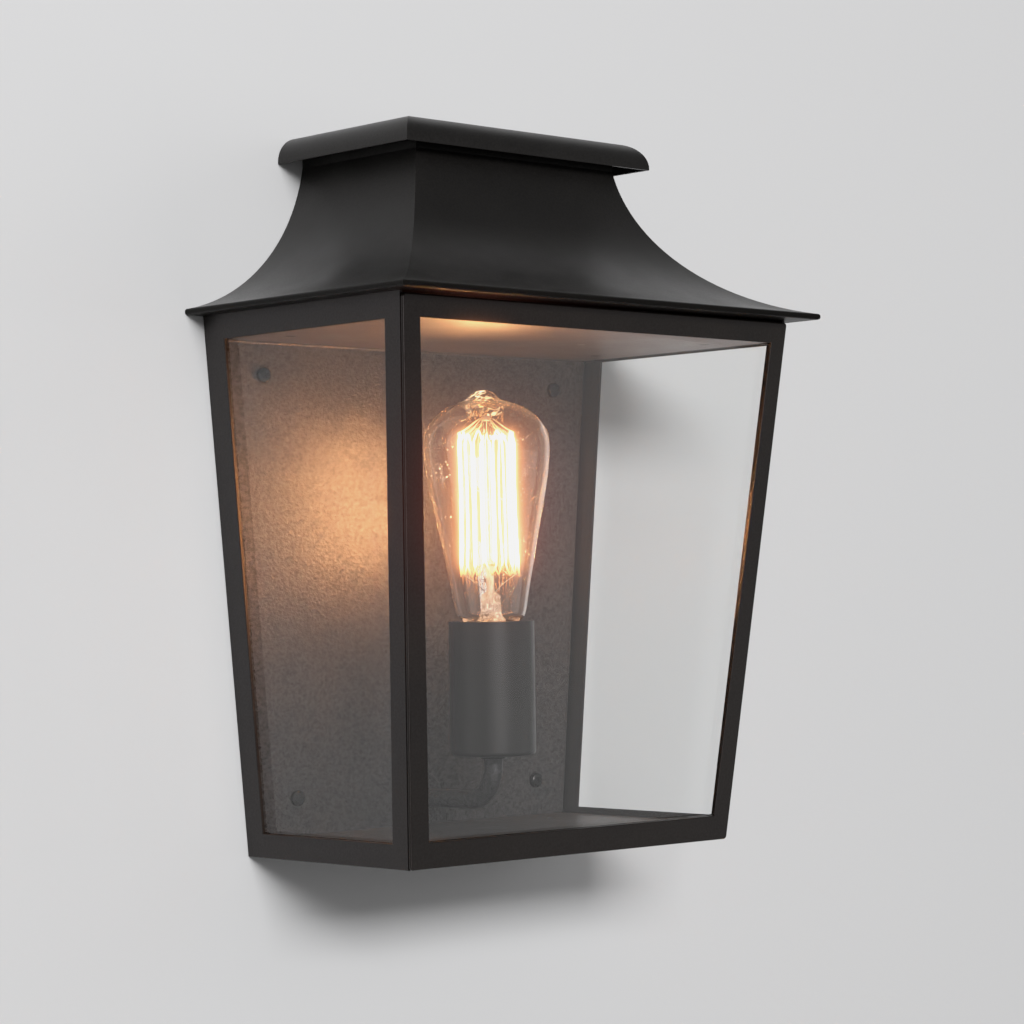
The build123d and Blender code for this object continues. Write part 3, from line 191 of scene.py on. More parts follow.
def pane_glass(name):
    f = Finish(name)
    share, facing = reflectance(f, 0.035)
    wave = f.noise(14.0, 1.0, 0.4)
    smear = f.noise(60.0, 4.0, 0.65, stretch=(1.0, 1.0, 0.25))
    clear = f.node("ShaderNodeBsdfTransparent", {"Color": (0.988, 0.992, 0.990)})
    gloss = f.node("ShaderNodeBsdfAnisotropic", {
        "Color": (1.0, 1.0, 1.0), "Roughness": f.span(smear, 0.45, 0.8, 0.0, 0.06),
        "Normal": f.bump(wave, 0.25, 0.00004),
    })
    pane = f.node("ShaderNodeMixShader", {0: share, 1: clear.outputs[0], 2: gloss.outputs[0]})
    open_ = f.node("ShaderNodeBsdfTransparent", {"Color": (1.0, 1.0, 1.0)})
    shadow = f.node("ShaderNodeLightPath").outputs["Is Shadow Ray"]
    return f.finish(f.node("ShaderNodeMixShader", {0: shadow, 1: pane.outputs[0], 2: open_.outputs[0]}).outputs[0])


def unlit_paths(f):
    """1 on the paths that carry lamplight out through the glass, which cross it straight."""
    p = f.node("ShaderNodeLightPath").outputs
    rough = f.math("MULTIPLY", p["Is Glossy Ray"], f.math("SUBTRACT", 1.0, p["Is Singular Ray"]))
    return f.math("MAXIMUM", p["Is Shadow Ray"], f.math("MAXIMUM", p["Is Diffuse Ray"], rough))


def lamp_glass():
    """Blown glass: clear, a little rippled, with seeds and dust that catch the lamplight."""
    f = Finish("lamp_glass")
    wave = f.noise(38.0, 2.0, 0.5, stretch=(1.0, 1.0, 0.45))
    speck = f.node("ShaderNodeTexVoronoi", {"Vector": f.coords(), "Scale": 330.0, "Randomness": 1.0}).outputs["Distance"]
    lone = f.span(f.noise(75.0, 2.0, 0.5), 0.52, 0.58, 0.0, 1.0)
    seed = f.math("MULTIPLY", f.span(speck, 0.07, 0.18, 1.0, 0.0), lone)
    where = f.node("ShaderNodeSeparateXYZ", {"Vector": f.coords()}).outputs
    away = f.math("SQRT", f.math("ADD", f.math("POWER", where[0], 2.0), f.math("POWER", f.math("SUBTRACT", where[1], LAMP_Y), 2.0)))
    tip = f.math("MULTIPLY", f.span(where[2], at(217.2), at(218.4), 0.0, 1.0), f.span(away, 0.0098, 0.0116, 1.0, 0.0))
    glass = f.node("ShaderNodeBsdfGlass", {
        "Color": f.blend(tip, (1.0, 0.992, 0.98), (0.80, 0.68, 0.55)), "Roughness": 0.0, "IOR": 1.5, "Normal": f.bump(wave, 0.4, 0.0003),
    })
    clear = f.node("ShaderNodeBsdfTransparent", {"Color": (0.985, 0.965, 0.93)})
    body = f.node("ShaderNodeMixShader", {0: unlit_paths(f), 1: glass.outputs[0], 2: clear.outputs[0]})
    through = f.node("ShaderNodeBsdfTranslucent", {"Color": (1.0, 0.95, 0.90)})
    back = f.node("ShaderNodeBsdfDiffuse", {"Color": (1.0, 0.95, 0.90)})
    haze = f.node("ShaderNodeMixShader", {0: 0.5, 1: through.outputs[0], 2: back.outputs[0]})
    facing = f.node("ShaderNodeLayerWeight", {"Blend": 0.5}).outputs["Facing"]
    skin = f.math("MULTIPLY_ADD", f.math("POWER", facing, 8.0), 0.125, f.span(f.noise(40.0, 4.0, 0.6), 0.3, 0.7, 0.0015, 0.0055))
    hair = f.math("ABSOLUTE", f.math("SUBTRACT", f.noise(95.0, 2.0, 0.5, stretch=(1.0, 1.0, 0.6)), 0.5))
    hair = f.math("MULTIPLY", f.span(hair, 0.0, 0.006, 1.0, 0.0), f.span(f.noise(60.0, 1.0, 0.5, stretch=(1.3, 0.8, 1.0)), 0.52, 0.60, 0.0, 0.10))
    cloud = f.math("ADD", f.math("ADD", skin, hair), f.math("MULTIPLY", seed, 0.60))
    cloud = f.math("MULTIPLY", cloud, f.math("MULTIPLY_ADD", tip, -0.85, 1.0))
    misted = f.node("ShaderNodeMixShader", {0: cloud, 1: body.outputs[0], 2: haze.outputs[0]})
    # the sealed tip is full of folds; the lamplight they hold is painted on as a glow (emission) along the fold lines
    fold_glow_mask = f.math("ABSOLUTE", f.math("SUBTRACT", f.noise(190.0, 1.0, 0.4, stretch=(1.0, 1.0, 1.4)), 0.5))
    fold_glow_mask = f.math("MULTIPLY", f.span(fold_glow_mask, 0.006, 0.022, 1.0, 0.0), f.math("MULTIPLY", tip, f.span(f.noise(130.0, 1.0, 0.5), 0.38, 0.58, 0.25, 1.0)))
    painted_fold_glow = f.node("ShaderNodeEmission", {"Color": (1.0, 0.66, 0.37), "Strength": f.math("MULTIPLY_ADD", fold_glow_mask, 3.2, 0.8)})
    return f.finish(f.node("ShaderNodeMixShader", {0: f.math("MULTIPLY", fold_glow_mask, 0.9), 1: misted.outputs[0], 2: painted_fold_glow.outputs[0]}).outputs[0])


def stem_glass():
    """Clear rod; the press at its foot is crinkled and full of bubbles."""
    f = Finish("stem_glass")
    z = f.node("ShaderNodeSeparateXYZ", {"Vector": f.coords()}).outputs[2]
    press = f.span(z, at(130.0), at(127.5), 0.0, 1.0)
    ripple = f.noise(360.0, 3.0, 0.6)
    glass = f.node("ShaderNodeBsdfGlass", {
        "Color": (1.0, 0.985, 0.96), "IOR": 1.5, "Roughness": f.span(f.noise(300.0, 2.0, 0.5), 0.35, 0.7, 0.0, 0.10),
        "Normal": f.bump(ripple, 0.6, 0.0006),
    })
    clear = f.node("ShaderNodeBsdfTransparent", {"Color": (0.97, 0.95, 0.92)})
    body = f.node("ShaderNodeMixShader", {0: unlit_paths(f), 1: glass.outputs[0], 2: clear.outputs[0]})
    through = f.node("ShaderNodeBsdfTranslucent", {"Color": (1.0, 0.97, 0.93)})
    back = f.node("ShaderNodeBsdfDiffuse", {"Color": (1.0, 0.97, 0.93)})
    frost = f.node("ShaderNodeMixShader", {0: 0.5, 1: through.outputs[0], 2: back.outputs[0]})
    rod = f.math("MULTIPLY", f.span(z, at(150.0), at(140.0), 0.06, 1.0), f.span(f.noise(240.0, 3.0, 0.6, stretch=(1.0, 1.0, 0.3)), 0.40, 0.66, 0.24, 0.80))
    bubble = f.math("ADD", rod, f.math("MULTIPLY", press, f.span(f.noise(430.0, 3.0, 0.6), 0.50, 0.66, -0.10, 0.55)))
    return f.finish(f.node("ShaderNodeMixShader", {0: bubble, 1: body.outputs[0], 2: frost.outputs[0]}).outputs[0])


def tungsten():
    """Glowing wire, cooler towards the bends that the support hooks hold."""
    f = Finish("tungsten")
    z = f.node("ShaderNodeSeparateXYZ", {"Vector": f.coords()}).outputs[2]
    low = f.math("EXPONENT", f.math("MINIMUM", f.math("MULTIPLY", f.math("SUBTRACT", z, at(148.5)), 400.0), 0.0))
    high = f.math("EXPONENT", f.math("MINIMUM", f.math("MULTIPLY", f.math("SUBTRACT", at(207.0), z), 900.0), 0.0))
    heat = f.math("MULTIPLY", f.math("MULTIPLY", low, high), f.span(f.noise(500.0, 2.0, 0.5), 0.3, 0.7, 0.85, 1.1))
    return f.shader({
        "Base Color": f.blend(heat, (0.05, 0.045, 0.04), (0.20, 0.16, 0.12)), "Metallic": 1.0,
        "Roughness": f.span(f.noise(1500.0, 2.0), 0.3, 0.7, 0.35, 0.55),
        "Emission Color": f.blend(heat, (1.0, 0.34, 0.10), LAMP_RGB),
        "Emission Strength": f.math("MULTIPLY", heat, FILAMENT_POWER),
    })


def hook_wire_painted_glow():
    """Support wire, with a glow painted on as emission where it holds the filament."""
    f = Finish("hook_wire_painted_glow")
    where = f.node("ShaderNodeSeparateXYZ", {"Vector": f.coords()}).outputs
    away = f.math("SQRT", f.math("ADD", f.math("POWER", where[0], 2.0), f.math("POWER", f.math("SUBTRACT", where[1], LAMP_Y), 2.0)))
    # painted glow: emission on the hook tips, strongest next to the filament strands
    painted_glow = f.math("MULTIPLY", f.span(where[2], at(206.0), at(208.0), 0.0, 1.0), f.span(away, 0.0030, 0.0140, 0.2, 5.0))
    n = f.noise(1600.0, 3.0, 0.6)
    return f.shader({
        "Base Color": f.blend(n, (0.22, 0.19, 0.17), (0.32, 0.28, 0.25)), "Metallic": 1.0,
        "Roughness": f.span(n, 0.3, 0.7, 0.32, 0.46), "Emission Color": f.blend(f.span(away, 0.004, 0.014, 0.0, 1.0), (1.0, 0.36, 0.11), LAMP_RGB),
        "Emission Strength": painted_glow,
    })


def earth_insulation():
    f = Finish("earth_green")
    band = f.node("ShaderNodeTexWave", {"Vector": f.coords(), "Scale": 95.0, "Distortion": 0.6, "Detail": 1.0}, bands_direction="DIAGONAL").outputs[1]
    n = f.noise(900.0, 2.0)
    return f.shader({
        "Base Color": f.blend(f.span(band, 0.48, 0.54, 0.0, 1.0), (0.04, 0.23, 0.05), (0.75, 0.58, 0.03)),
        "Roughness": f.span(n, 0.3, 0.7, 0.42, 0.55), "Normal": f.bump(n, 0.3, 0.00002),
    })


FINISH = {
    "black_coat": powder_coat("black_coat", 0.0042, 0.37, 1000.0, 0.00007, warm=0.10, gloss=0.34),
    # the side and door coats are copies of the black coat tuned per face, with a warmer tint of painted lamplight: the
    # side frames' is glossier (painted light), the door's duller (painted shade)
    "side_coat_lit_copy": powder_coat("side_coat_lit_copy", 0.0046, 0.37, 1000.0, 0.00007, warm=0.22, gloss=0.375, tint=(1.0, 0.915, 0.925)),
    "door_coat_shaded_copy": powder_coat("door_coat_shaded_copy", 0.0046, 0.37, 1000.0, 0.00007, warm=0.22, gloss=0.275, tint=(1.0, 0.905, 0.915)),
    # the eave's coat is a darker, duller copy of the black coat: painted shade
    "eave_coat_painted_shade": powder_coat("eave_coat_painted_shade", 0.0030, 0.40, 1000.0, 0.00007, warm=0.16, gloss=0.11),
    "panel_coat": powder_coat("panel_coat", 0.0135, 0.485, 680.0, 0.00054, warm=0.03, spread=0.2, gloss=0.63, ripple=0.45, drawn=(0.85, 1.0, 1.1), tint=(1.0, 0.945, 0.99)),
    "holder_coat": powder_coat("holder_coat", 0.0075, 0.40, 900.0, 0.000003, warm=0.08, spread=0.2, gloss=0.31, ripple=0.02, tint=(1.0, 0.945, 0.94)),
    # the ceiling's coat is a much lighter, warmer copy of the inside coats: painted lamplight
    "ceiling_coat_lit_copy": powder_coat("ceiling_coat_lit_copy", 0.028, 0.385, 620.0, 0.00022, warm=0.20, spread=0.2, gloss=0.95, tint=(1.0, 0.94, 0.98)),
    "tray_coat": powder_coat("tray_coat", 0.006, 0.48, 420.0, 0.00001, warm=0.05, spread=0.1, gloss=1.0, ripple=0.04, dusty=0.0),
    "dark_nickel": metal("dark_nickel", (0.040, 0.038, 0.037), 0.09, scale=420.0, depth=0.0006),
    "window_glass": pane_glass("window_glass"),
    "lamp_glass": lamp_glass(),
    "stem_glass": stem_glass(),
    "zinc": metal("zinc", (0.36, 0.36, 0.352), 0.42, scale=420.0, depth=0.000006, spread=0.06),
    "black_steel": metal("black_steel", (0.05, 0.048, 0.046), 0.30, scale=1200.0),
    "nickel": metal("nickel", (0.30, 0.285, 0.265), 0.20, scale=1400.0),
    "brass": metal("brass", (0.78, 0.56, 0.24), 0.26, scale=1300.0),
    "tungsten": tungsten(),
    "hook_wire_painted_glow": hook_wire_painted_glow(),
    "porcelain": moulded("porcelain", (0.80, 0.785, 0.745), (0.87, 0.855, 0.82), 0.16, scale=300.0),
    "insulator": moulded("insulator", (0.012, 0.012, 0.014), (0.024, 0.023, 0.026), 0.12, scale=350.0),
    "grommet_rubber": moulded("grommet_rubber", (0.012, 0.012, 0.012), (0.028, 0.027, 0.026), 0.72, scale=1600.0),
    "block_plastic": moulded("block_plastic", (0.72, 0.70, 0.64), (0.80, 0.78, 0.72), 0.45, scale=1100.0),
    "live_brown": moulded("live_brown", (0.13, 0.055, 0.025), (0.19, 0.085, 0.04), 0.48, scale=1100.0),
    "neutral_blue": moulded("neutral_blue", (0.03, 0.11, 0.32), (0.05, 0.16, 0.42), 0.48, scale=1100.0),
    "earth_green": earth_insulation(),
    "magnet": metal("magnet", (0.55, 0.55, 0.56), 0.22, scale=1500.0),
}

OWN_FINISH = {  # coats that differ within a slot; the side, door, eave and ceiling coats are copies with painted light and shade
    "panel_screws": "dark_nickel", "ceiling_screws": "black_coat", "floor_plate": "tray_coat", "ceiling_plate": "ceiling_coat_lit_copy",
    "lampholder_cover": "holder_coat", "holder_collar": "holder_coat", "roof_base": "eave_coat_painted_shade",
    "left_side_frame": "side_coat_lit_copy", "right_side_frame": "side_coat_lit_copy", "door_frame": "door_coat_shaded_copy",
}
for part in frame["record"]["subparts"]:
    o = cad[part["node"]]
    o.data.materials.clear()
    o.data.materials.append(FINISH[OWN_FINISH.get(part["node"], part["material_slot"])])


# ------------------------------------------------------------------ mesh building
def mesh_piece(name, verts, faces, slot, body, *stands_for, finish=None):
    me = bpy.data.meshes.new(name)
    me.from_pydata(verts, [], faces)
    me.validate()
    v = [Vector(p) for p in verts]
    volume = sum(v[f[0]].dot(v[f[k]].cross(v[f[k + 1]])) for f in faces for k in range(1, len(f) - 1))
    if volume < 0:
        me.flip_normals()
    me.polygons.foreach_set("use_smooth", [True] * len(me.polygons))
    me.set_sharp_from_angle(angle=math.radians(50.0))
    me.update()
    o = bpy.data.objects.new(name, me)
    scene.collection.objects.link(o)
    me.materials.append(FINISH[finish or slot])
    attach(o, body)
    if stands_for:
        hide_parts(*stands_for)
    return o


def loft(verts, faces, rings, close=True):
    """Joins rings of equal length into a skin; a ring of one point closes an end."""
    base = []
    for r in rings:
        base.append(len(verts))
        verts.extend(r)
    for (b0, r0), (b1, r1) in zip(list(zip(base, rings))[:-1], list(zip(base, rings))[1:]):
        n = max(len(r0), len(r1))
        for i in range(n):
            j = (i + 1) % n
            if len(r0) == 1:
                faces.append((b0, b1 + j, b1 + i))
            elif len(r1) == 1:
                faces.append((b0 + i, b0 + j, b1))
            else:
                faces.append((b0 + i, b0 + j, b1 + j, b1 + i))


def ring(cx, cy, z, rx, ry, n, turn=0.0):
    ct, st = math.cos(turn), math.sin(turn)
    out = []
    for i in range(n):
        a = 2 * math.pi * i / n
        x, y = rx * math.cos(a), ry * math.sin(a)
        out.append((cx + x * ct - y * st, cy + x * st + y * ct, z))
    return out


def tube(verts, faces, pts, radius, sides=8):
    """Round wire along points, ends closed."""
    pts = [Vector(p) for p in pts]
    t0 = (pts[1] - pts[0]).normalized()
    ref = Vector((0, 0, 1)) if abs(t0.z) < 0.9 else Vector((1, 0, 0))
    u = t0.cross(ref).normalized()
    rings = []
    for i, p in enumerate(pts):
        a, b = pts[max(i - 1, 0)], pts[min(i + 1, len(pts) - 1)]
        t = (b - a).normalized()
        u = (u - t * u.dot(t)).normalized()
        v = t.cross(u)
        rr = radius[i] if isinstance(radius, (list, tuple)) else radius
        rings.append([tuple(p + (u * math.cos(2 * math.pi * k / sides) + v * math.sin(2 * math.pi * k / sides)) * rr) for k in range(sides)])
    loft(verts, faces, [[tuple(pts[0])], *rings, [tuple(pts[-1])]])


def smooth_path(ctrl, per=6):
    """Catmull-Rom points through ctrl."""
    c = [Vector(p) for p in ctrl]
    c = [c[0] * 2 - c[1], *c, c[-1] * 2 - c[-2]]
    out = []
    for i in range(1, len(c) - 2):
        p0, p1, p2, p3 = c[i - 1:i + 3]
        for k in range(per):
            t = k / per
            out.append(0.5 * ((2 * p1) + (p2 - p0) * t + (2 * p0 - 5 * p1 + 4 * p2 - p3) * t * t + (3 * p1 - p0 - 3 * p2 + p3) * t ** 3))
    out.append(c[-2])
    return out


def spline(pts, per):
    """Points along a natural cubic spline through pts."""
    t, n, cols = [0.0], len(pts), []
    for a, b in zip(pts, pts[1:]):
        t.append(t[-1] + math.dist(a, b))
    for c in range(len(pts[0])):
        y = [p[c] for p in pts]
        up, rhs, m = [0.0] * n, [0.0] * n, [0.0] * n
        for i in range(1, n - 1):
            h0, h1 = t[i] - t[i - 1], t[i + 1] - t[i]
            w = 2 * (h0 + h1) - h0 * up[i - 1]
            up[i] = h1 / w
            rhs[i] = (6 * ((y[i + 1] - y[i]) / h1 - (y[i] - y[i - 1]) / h0) - h0 * rhs[i - 1]) / w
        for i in range(n - 2, 0, -1):
            m[i] = rhs[i] - up[i] * m[i + 1]
        cols.append((y, m))
    out = []
    for i in range(n - 1):
        h = t[i + 1] - t[i]
        for k in range(per):
            b = k / per
            a = 1 - b
            out.append(tuple(a * y[i] + b * y[i + 1] + ((a ** 3 - a) * m[i] + (b ** 3 - b) * m[i + 1]) * h * h / 6 for y, m in cols))
    out.append(tuple(pts[-1]))
    return out


def lamp_axis(h):
    """The lamp's own axis at a height: upright in the cap, then leaning."""
    s = max(0.0, h - 113.0) * MM * LAMP_LEAN
    return -s * math.cos(YAW), LAMP_Y + s * math.sin(YAW)


def polar(r, deg, h):
    a = math.radians(deg)
    x, y = lamp_axis(h)
    return (x + r * MM * math.cos(a), y + r * MM * math.sin(a), at(h))


# ------------------------------------------------------------------ lamp: glass, a real wall with a sealed tip
OUTLINE = (  # radius, height
    (-2.4, 230.85), (0.0, 231.2), (2.4, 230.85), (4.8, 230.0), (7.3, 227.9), (8.5, 226.6), (9.8, 225.9), (12.4, 225.1), (17.4, 223.3),
    (21.7, 221.0), (27.4, 215.9), (30.5, 210.8), (31.8, 205.8), (32.0, 201.5), (31.6, 195.7), (30.4, 185.6), (28.5, 175.5), (26.5, 165.4),
    (24.5, 155.3), (22.6, 145.1), (20.7, 135.0), (18.9, 124.9), (18.0, 119.9), (16.9, 116.7), (15.2, 114.8), (13.6, 113.8), (12.6, 112.9),
    (12.2, 111.6), (12.2, 108.5),
)
SKIN, ROUND = 0.8, 96
outer = spline(OUTLINE, 6)[6:]
inner = []
for i, (r, h) in enumerate(outer):
    a, b = outer[max(i - 1, 0)], outer[min(i + 1, len(outer) - 1)]
    dr, dh = b[0] - a[0], b[1] - a[1]
    n = math.hypot(dr, dh)
    thick = SKIN + 1.5 * max(0.0, 1.0 - r / 10.5) ** 1.5      # the tip is drawn off thick
    inner.append((max(0.0, r + dh / n * thick), h - dr / n * thick))
BEAD = (  # the glass that runs together under the sealed tip: radius, height
    (0.0, 224.0), (2.0, 223.6), (4.0, 221.8), (5.6, 219.6), (7.3, 218.5), (8.9, 219.4), (9.8, 221.2), (10.8, 222.9), (12.6, 224.0),
)
inner = spline(BEAD, 5) + [p for p in inner if p[0] > 13.2 or p[1] < 220.0]


def tip_shape(r, h, t, part):
    """The drawn-off tip isn't quite round: lumps that fade out down the shoulder."""
    k = min(1.0, max(0.0, (h - 222.5) / 4.0))
    wob = k * (0.055 * math.sin(3 * t + 0.7 + part) + 0.045 * math.sin(5 * t + 2.1 * part) + 0.03 * math.sin(9 * t + 1.3))
    if part and r < 13.0 and h > 217.0:
        k = min(1.0, (13.0 - r) / 3.0)
        wob += k * (0.07 * math.sin(2 * t + 0.6) + 0.06 * math.sin(3 * t + 2.2) + 0.035 * math.sin(7 * t + 0.9))
        h += k * min(1.0, r / 4.0) * (0.5 * math.sin(2 * t + 1.1) + 0.35 * math.sin(5 * t + 0.4))
    x, y = lamp_axis(h)
    off = 0.9 * MM * k
    rr = r * (1 + wob) * MM
    return (x - off * math.cos(YAW) + rr * math.cos(t), y + off * math.sin(YAW) + rr * math.sin(t), at(h))


rings = [[tip_shape(0.0, outer[0][1], 0.0, 0.0)]]
rings += [[tip_shape(r, h, 2 * math.pi * i / ROUND, 0.0) for i in range(ROUND)] for r, h in outer[1:]]
rings += [[tip_shape(r, h, 2 * math.pi * i / ROUND, 1.0) for i in range(ROUND)] for r, h in reversed(inner[1:])]
rings.append([tip_shape(0.0, inner[0][1], 0.0, 0.0)])
verts, faces = [], []
loft(verts, faces, rings)
envelope = mesh_piece("glass_envelope", verts, faces, "lamp_glass", "bulb", "bulb_glass")

# ------------------------------------------------------------------ lamp: squirrel cage filament
STRANDS, CAGE_LOW, CAGE_TOP = 18, 137.4, 209.8
strands = []
for i in range(STRANDS):
    a, up = 20.0 * i, i % 2 == 0
    bow, lean, tip, foot = rng.uniform(-0.9, 0.2), rng.uniform(-2.8, 2.8), rng.uniform(-0.7, 0.4), rng.uniform(-0.6, 1.6)
    leg = []
    for k in range(15):
        t = k / 14
        h = CAGE_LOW + foot + (CAGE_TOP + tip - CAGE_LOW - foot) * t
        top = max(0.0, (t - 0.90) / 0.10) ** 2
        low = max(0.0, (0.08 - t) / 0.08) ** 2
        d = a + lean * math.sin(math.pi * t) + (10.0 if up else -10.0) * 0.86 * top - (10.0 if up else -10.0) * 0.86 * low
        leg.append((14.95 - 0.55 * t + bow * math.sin(math.pi * t) - 0.9 * top, d, h))
    strands.append(leg if up else leg[::-1])
path, gauge = [], []
for i, leg in enumerate(strands):
    path.extend(leg)
    gauge.extend(0.36 * MM + 0.09 * MM * math.sin(math.pi * k / 14) ** 0.5 for k in range(15))
    nxt = strands[(i + 1) % STRANDS][0]
    if i < STRANDS - 1:
        end = leg[-1]
        turn = 0.35 if i % 2 == 0 else -0.35
        path.append(((end[0] + nxt[0]) / 2, (end[1] + nxt[1]) / 2, (end[2] + nxt[2]) / 2 + turn))
        gauge.append(0.36 * MM)
verts, faces = [], []
tube(verts, faces, [polar(*p) for p in path], gauge, 8)
cage = mesh_piece("filament_cage", verts, faces, "tungsten", "bulb", "filament")

# ------------------------------------------------------------------ lamp: wires that carry the cage, and its two leads
verts, faces = [], []
for i in range(STRANDS // 2):
    top, low = 10.0 + 40.0 * i, 30.0 + 40.0 * i
    tube(verts, faces, smooth_path([
        polar(1.35, top, 217.3), polar(3.0, top, 217.0), polar(6.0, top, 215.2), polar(10.0, top, 212.2), polar(13.0, top, 210.4),
        polar(14.3, top + 1.0, 209.9), polar(14.5, top + 2.0, 209.2), polar(13.9, top + 2.6, 208.8),
    ], 4), 0.15 * MM, 6)
    tube(verts, faces, smooth_path([
        polar(3.02, low, 143.0), polar(5.0, low, 142.4), polar(9.5, low, 139.9), polar(13.6, low, 137.6),
        polar(15.0, low + 1.0, 137.1), polar(15.5, low + 2.0, 137.9), polar(14.9, low + 2.6, 138.4),
    ], 4), 0.15 * MM, 6)
for z0, z1, r0, r1 in ((215.5, 217.9, 1.32, 2.35), (142.1, 143.9, 3.02, 3.55)):
    n = 28
    rim = []
    for z, r in ((z0, r0), (z0, r1 - 0.35), (z0 + 0.35, r1), (z1 - 0.35, r1), (z1, r1 - 0.35), (z1, r0), (z0, r0)):
        rim.append([polar(r, 360.0 * k / n, z) for k in range(n)])
    loft(verts, faces, rim)
WIDE = -YAW                    # the press's wide way, level and across the lamp
for s, d in ((-1, 150.0), (1, -28.0)):
    wx, wy = math.cos(WIDE), math.sin(WIDE)
    foot = []
    for r, h in ((2.9, 128.4), (3.1, 129.6)):
        x, y = lamp_axis(h)
        foot.append((x + s * r * MM * wx, y + s * r * MM * wy, at(h)))
    tube(verts, faces, smooth_path([*foot, polar(7.0, d, 133.2), polar(11.5, d, 136.4), polar(14.4, d, 138.4)], 5), 0.27 * MM, 8)
mesh_piece("filament_wires", verts, faces, "nickel", "bulb", "filament_supports", finish="hook_wire_painted_glow")

# ------------------------------------------------------------------ lamp: glass stem, flare to flat press to rod
STEM = (  # height, half width across the press, half thickness
    (111.0, 9.3, 9.3), (112.0, 9.2, 9.2), (112.9, 8.0, 7.9), (114.0, 6.9, 6.5), (115.4, 6.0, 5.1), (117.0, 5.4, 3.9), (119.0, 5.1, 3.1),
    (121.0, 4.98, 2.8), (123.0, 4.92, 2.7), (125.0, 4.85, 2.6), (126.6, 4.75, 2.55), (127.6, 4.5, 2.45), (128.2, 3.7, 2.3), (128.7, 2.6, 2.15),
    (129.4, 2.1, 2.05), (132.0, 1.95, 1.95), (138.0, 1.95, 1.95), (140.6, 2.0, 2.0), (141.6, 2.6, 2.6), (142.3, 2.95, 2.95), (143.0, 2.98, 2.98),
    (143.7, 2.9, 2.9), (144.4, 2.2, 2.2), (145.1, 1.5, 1.5), (146.5, 1.3, 1.3), (180.0, 1.3, 1.3), (217.0, 1.3, 1.3), (218.3, 1.0, 1.0), (218.8, 0.5, 0.5),
)
verts, faces, rings = [], [], []
for h, a, b in STEM:
    row = []
    lump = 0.05 if 113.0 < h < 127.0 else 0.0
    for i, (px, py, pz) in enumerate(ring(0, 0, at(h), a * MM, b * MM, 48)):
        k = 1 + lump * (math.sin(5 * i * math.pi / 24 + h) + 0.8 * math.sin(11 * i * math.pi / 24 + 2.3 * h))
        if 117.0 <= h <= 127.8:
            py = math.copysign(min(abs(py) * 1.35, b * MM), py)     # the press has flat faces
        x, y = lamp_axis(h)
        row.append((x + k * (px * math.cos(WIDE) - py * math.sin(WIDE)), y + k * (px * math.sin(WIDE) + py * math.cos(WIDE)), pz))
    rings.append(row)
loft(verts, faces, [[(*lamp_axis(111.0), at(111.0))], *rings, [(*lamp_axis(219.0), at(219.0))]])
mesh_piece("stem_press", verts, faces, "stem_glass", "bulb", "bulb_stem")

# ------------------------------------------------------------------ lamp: screw cap with a real helix
PITCH, CAP_LOW, CAP_TOP = 3.629, 93.0, 111.4
verts, faces = [], []
n, rings = 72, []
for k in range(93):
    h = CAP_LOW + (CAP_TOP - CAP_LOW) * k / 92
    fade = min(1.0, max(0.0, (h - 94.6) / 1.6)) * min(1.0, max(0.0, (109.8 - h) / 1.6))
    base = 12.85 - 0.95 * max(0.0, (94.6 - h) / 1.6) ** 1.5
    row = []
    for i in range(n):
        t = 2 * math.pi * i / n
        r = base + 0.4 * fade * math.cos(2 * math.pi * (h - 96.0) / PITCH - t)
        row.append((r * MM * math.cos(t), LAMP_Y + r * MM * math.sin(t), at(h)))
    rings.append(row)
rings += [ring(0, LAMP_Y, at(h), r * MM, r * MM, n) for h, r in ((CAP_TOP, 12.3), (103.0, 12.3), (CAP_LOW + 1.8, 12.3), (CAP_LOW, 11.3))]
rings.append(rings[0])
loft(verts, faces, rings)
mesh_piece("cap_thread", verts, faces, "nickel", "bulb", "bulb_cap")

# ------------------------------------------------------------------ stage
def plain(name, tone, rough, scale, one_sided=False):
    f = Finish(name)
    n = f.noise(scale, 4.0, 0.6)
    slow = f.noise(1.3, 2.0, 0.5)
    b = f.node("ShaderNodeBsdfPrincipled", {
        "Base Color": f.blend(f.span(slow, 0.3, 0.7, 0.0, 1.0), tuple(c * 0.985 for c in tone), tone),
        "Roughness": f.span(n, 0.3, 0.7, rough - 0.05, rough + 0.05), "Specular IOR Level": 0.25, "Normal": f.bump(n, 0.15, 0.0004),
    })
    if not one_sided:
        return f.finish(b.outputs[0])
    clear = f.node("ShaderNodeBsdfTransparent")
    back = f.node("ShaderNodeNewGeometry").outputs["Backfacing"]
    return f.finish(f.node("ShaderNodeMixShader", {0: back, 1: b.outputs[0], 2: clear.outputs[0]}).outputs[0])


def sheet(name, corners, mat):
    me = bpy.data.meshes.new(name)
    me.from_pydata(corners, [], [tuple(range(len(corners)))])
    me.materials.append(mat)
    o = bpy.data.objects.new(name, me)
    scene.collection.objects.link(o)
    return o


# wall and floor of the studio
wall = sheet("stage_wall", [(-4, 0.0004, FLOOR_Z), (4, 0.0004, FLOOR_Z), (4, 0.0004, 2.6), (-4, 0.0004, 2.6)], plain("wall_paint", (0.757, 0.757, 0.757), 0.85, 220.0, one_sided=True))
floor = sheet("stage_floor", [(-2.6, -2.6, FLOOR_Z), (2.6, -2.6, FLOOR_Z), (2.6, 2.6, FLOOR_Z), (-2.6, 2.6, FLOOR_Z)], plain("floor_paint", (0.66, 0.656, 0.65), 0.8, 90.0))
floor.visible_diffuse = False

# ------------------------------------------------------------------ light
def group(name, objects, state):
    c = bpy.data.collections.new(name)
    for o in objects:
        c.objects.link(o)
    for link in c.collection_objects:
        link.light_linking.link_state = state
    return c


# the studio light drowns the lamp's on the wall and floor
cage.light_linking.receiver_collection = group("dim_stage", (wall, floor), "EXCLUDE")

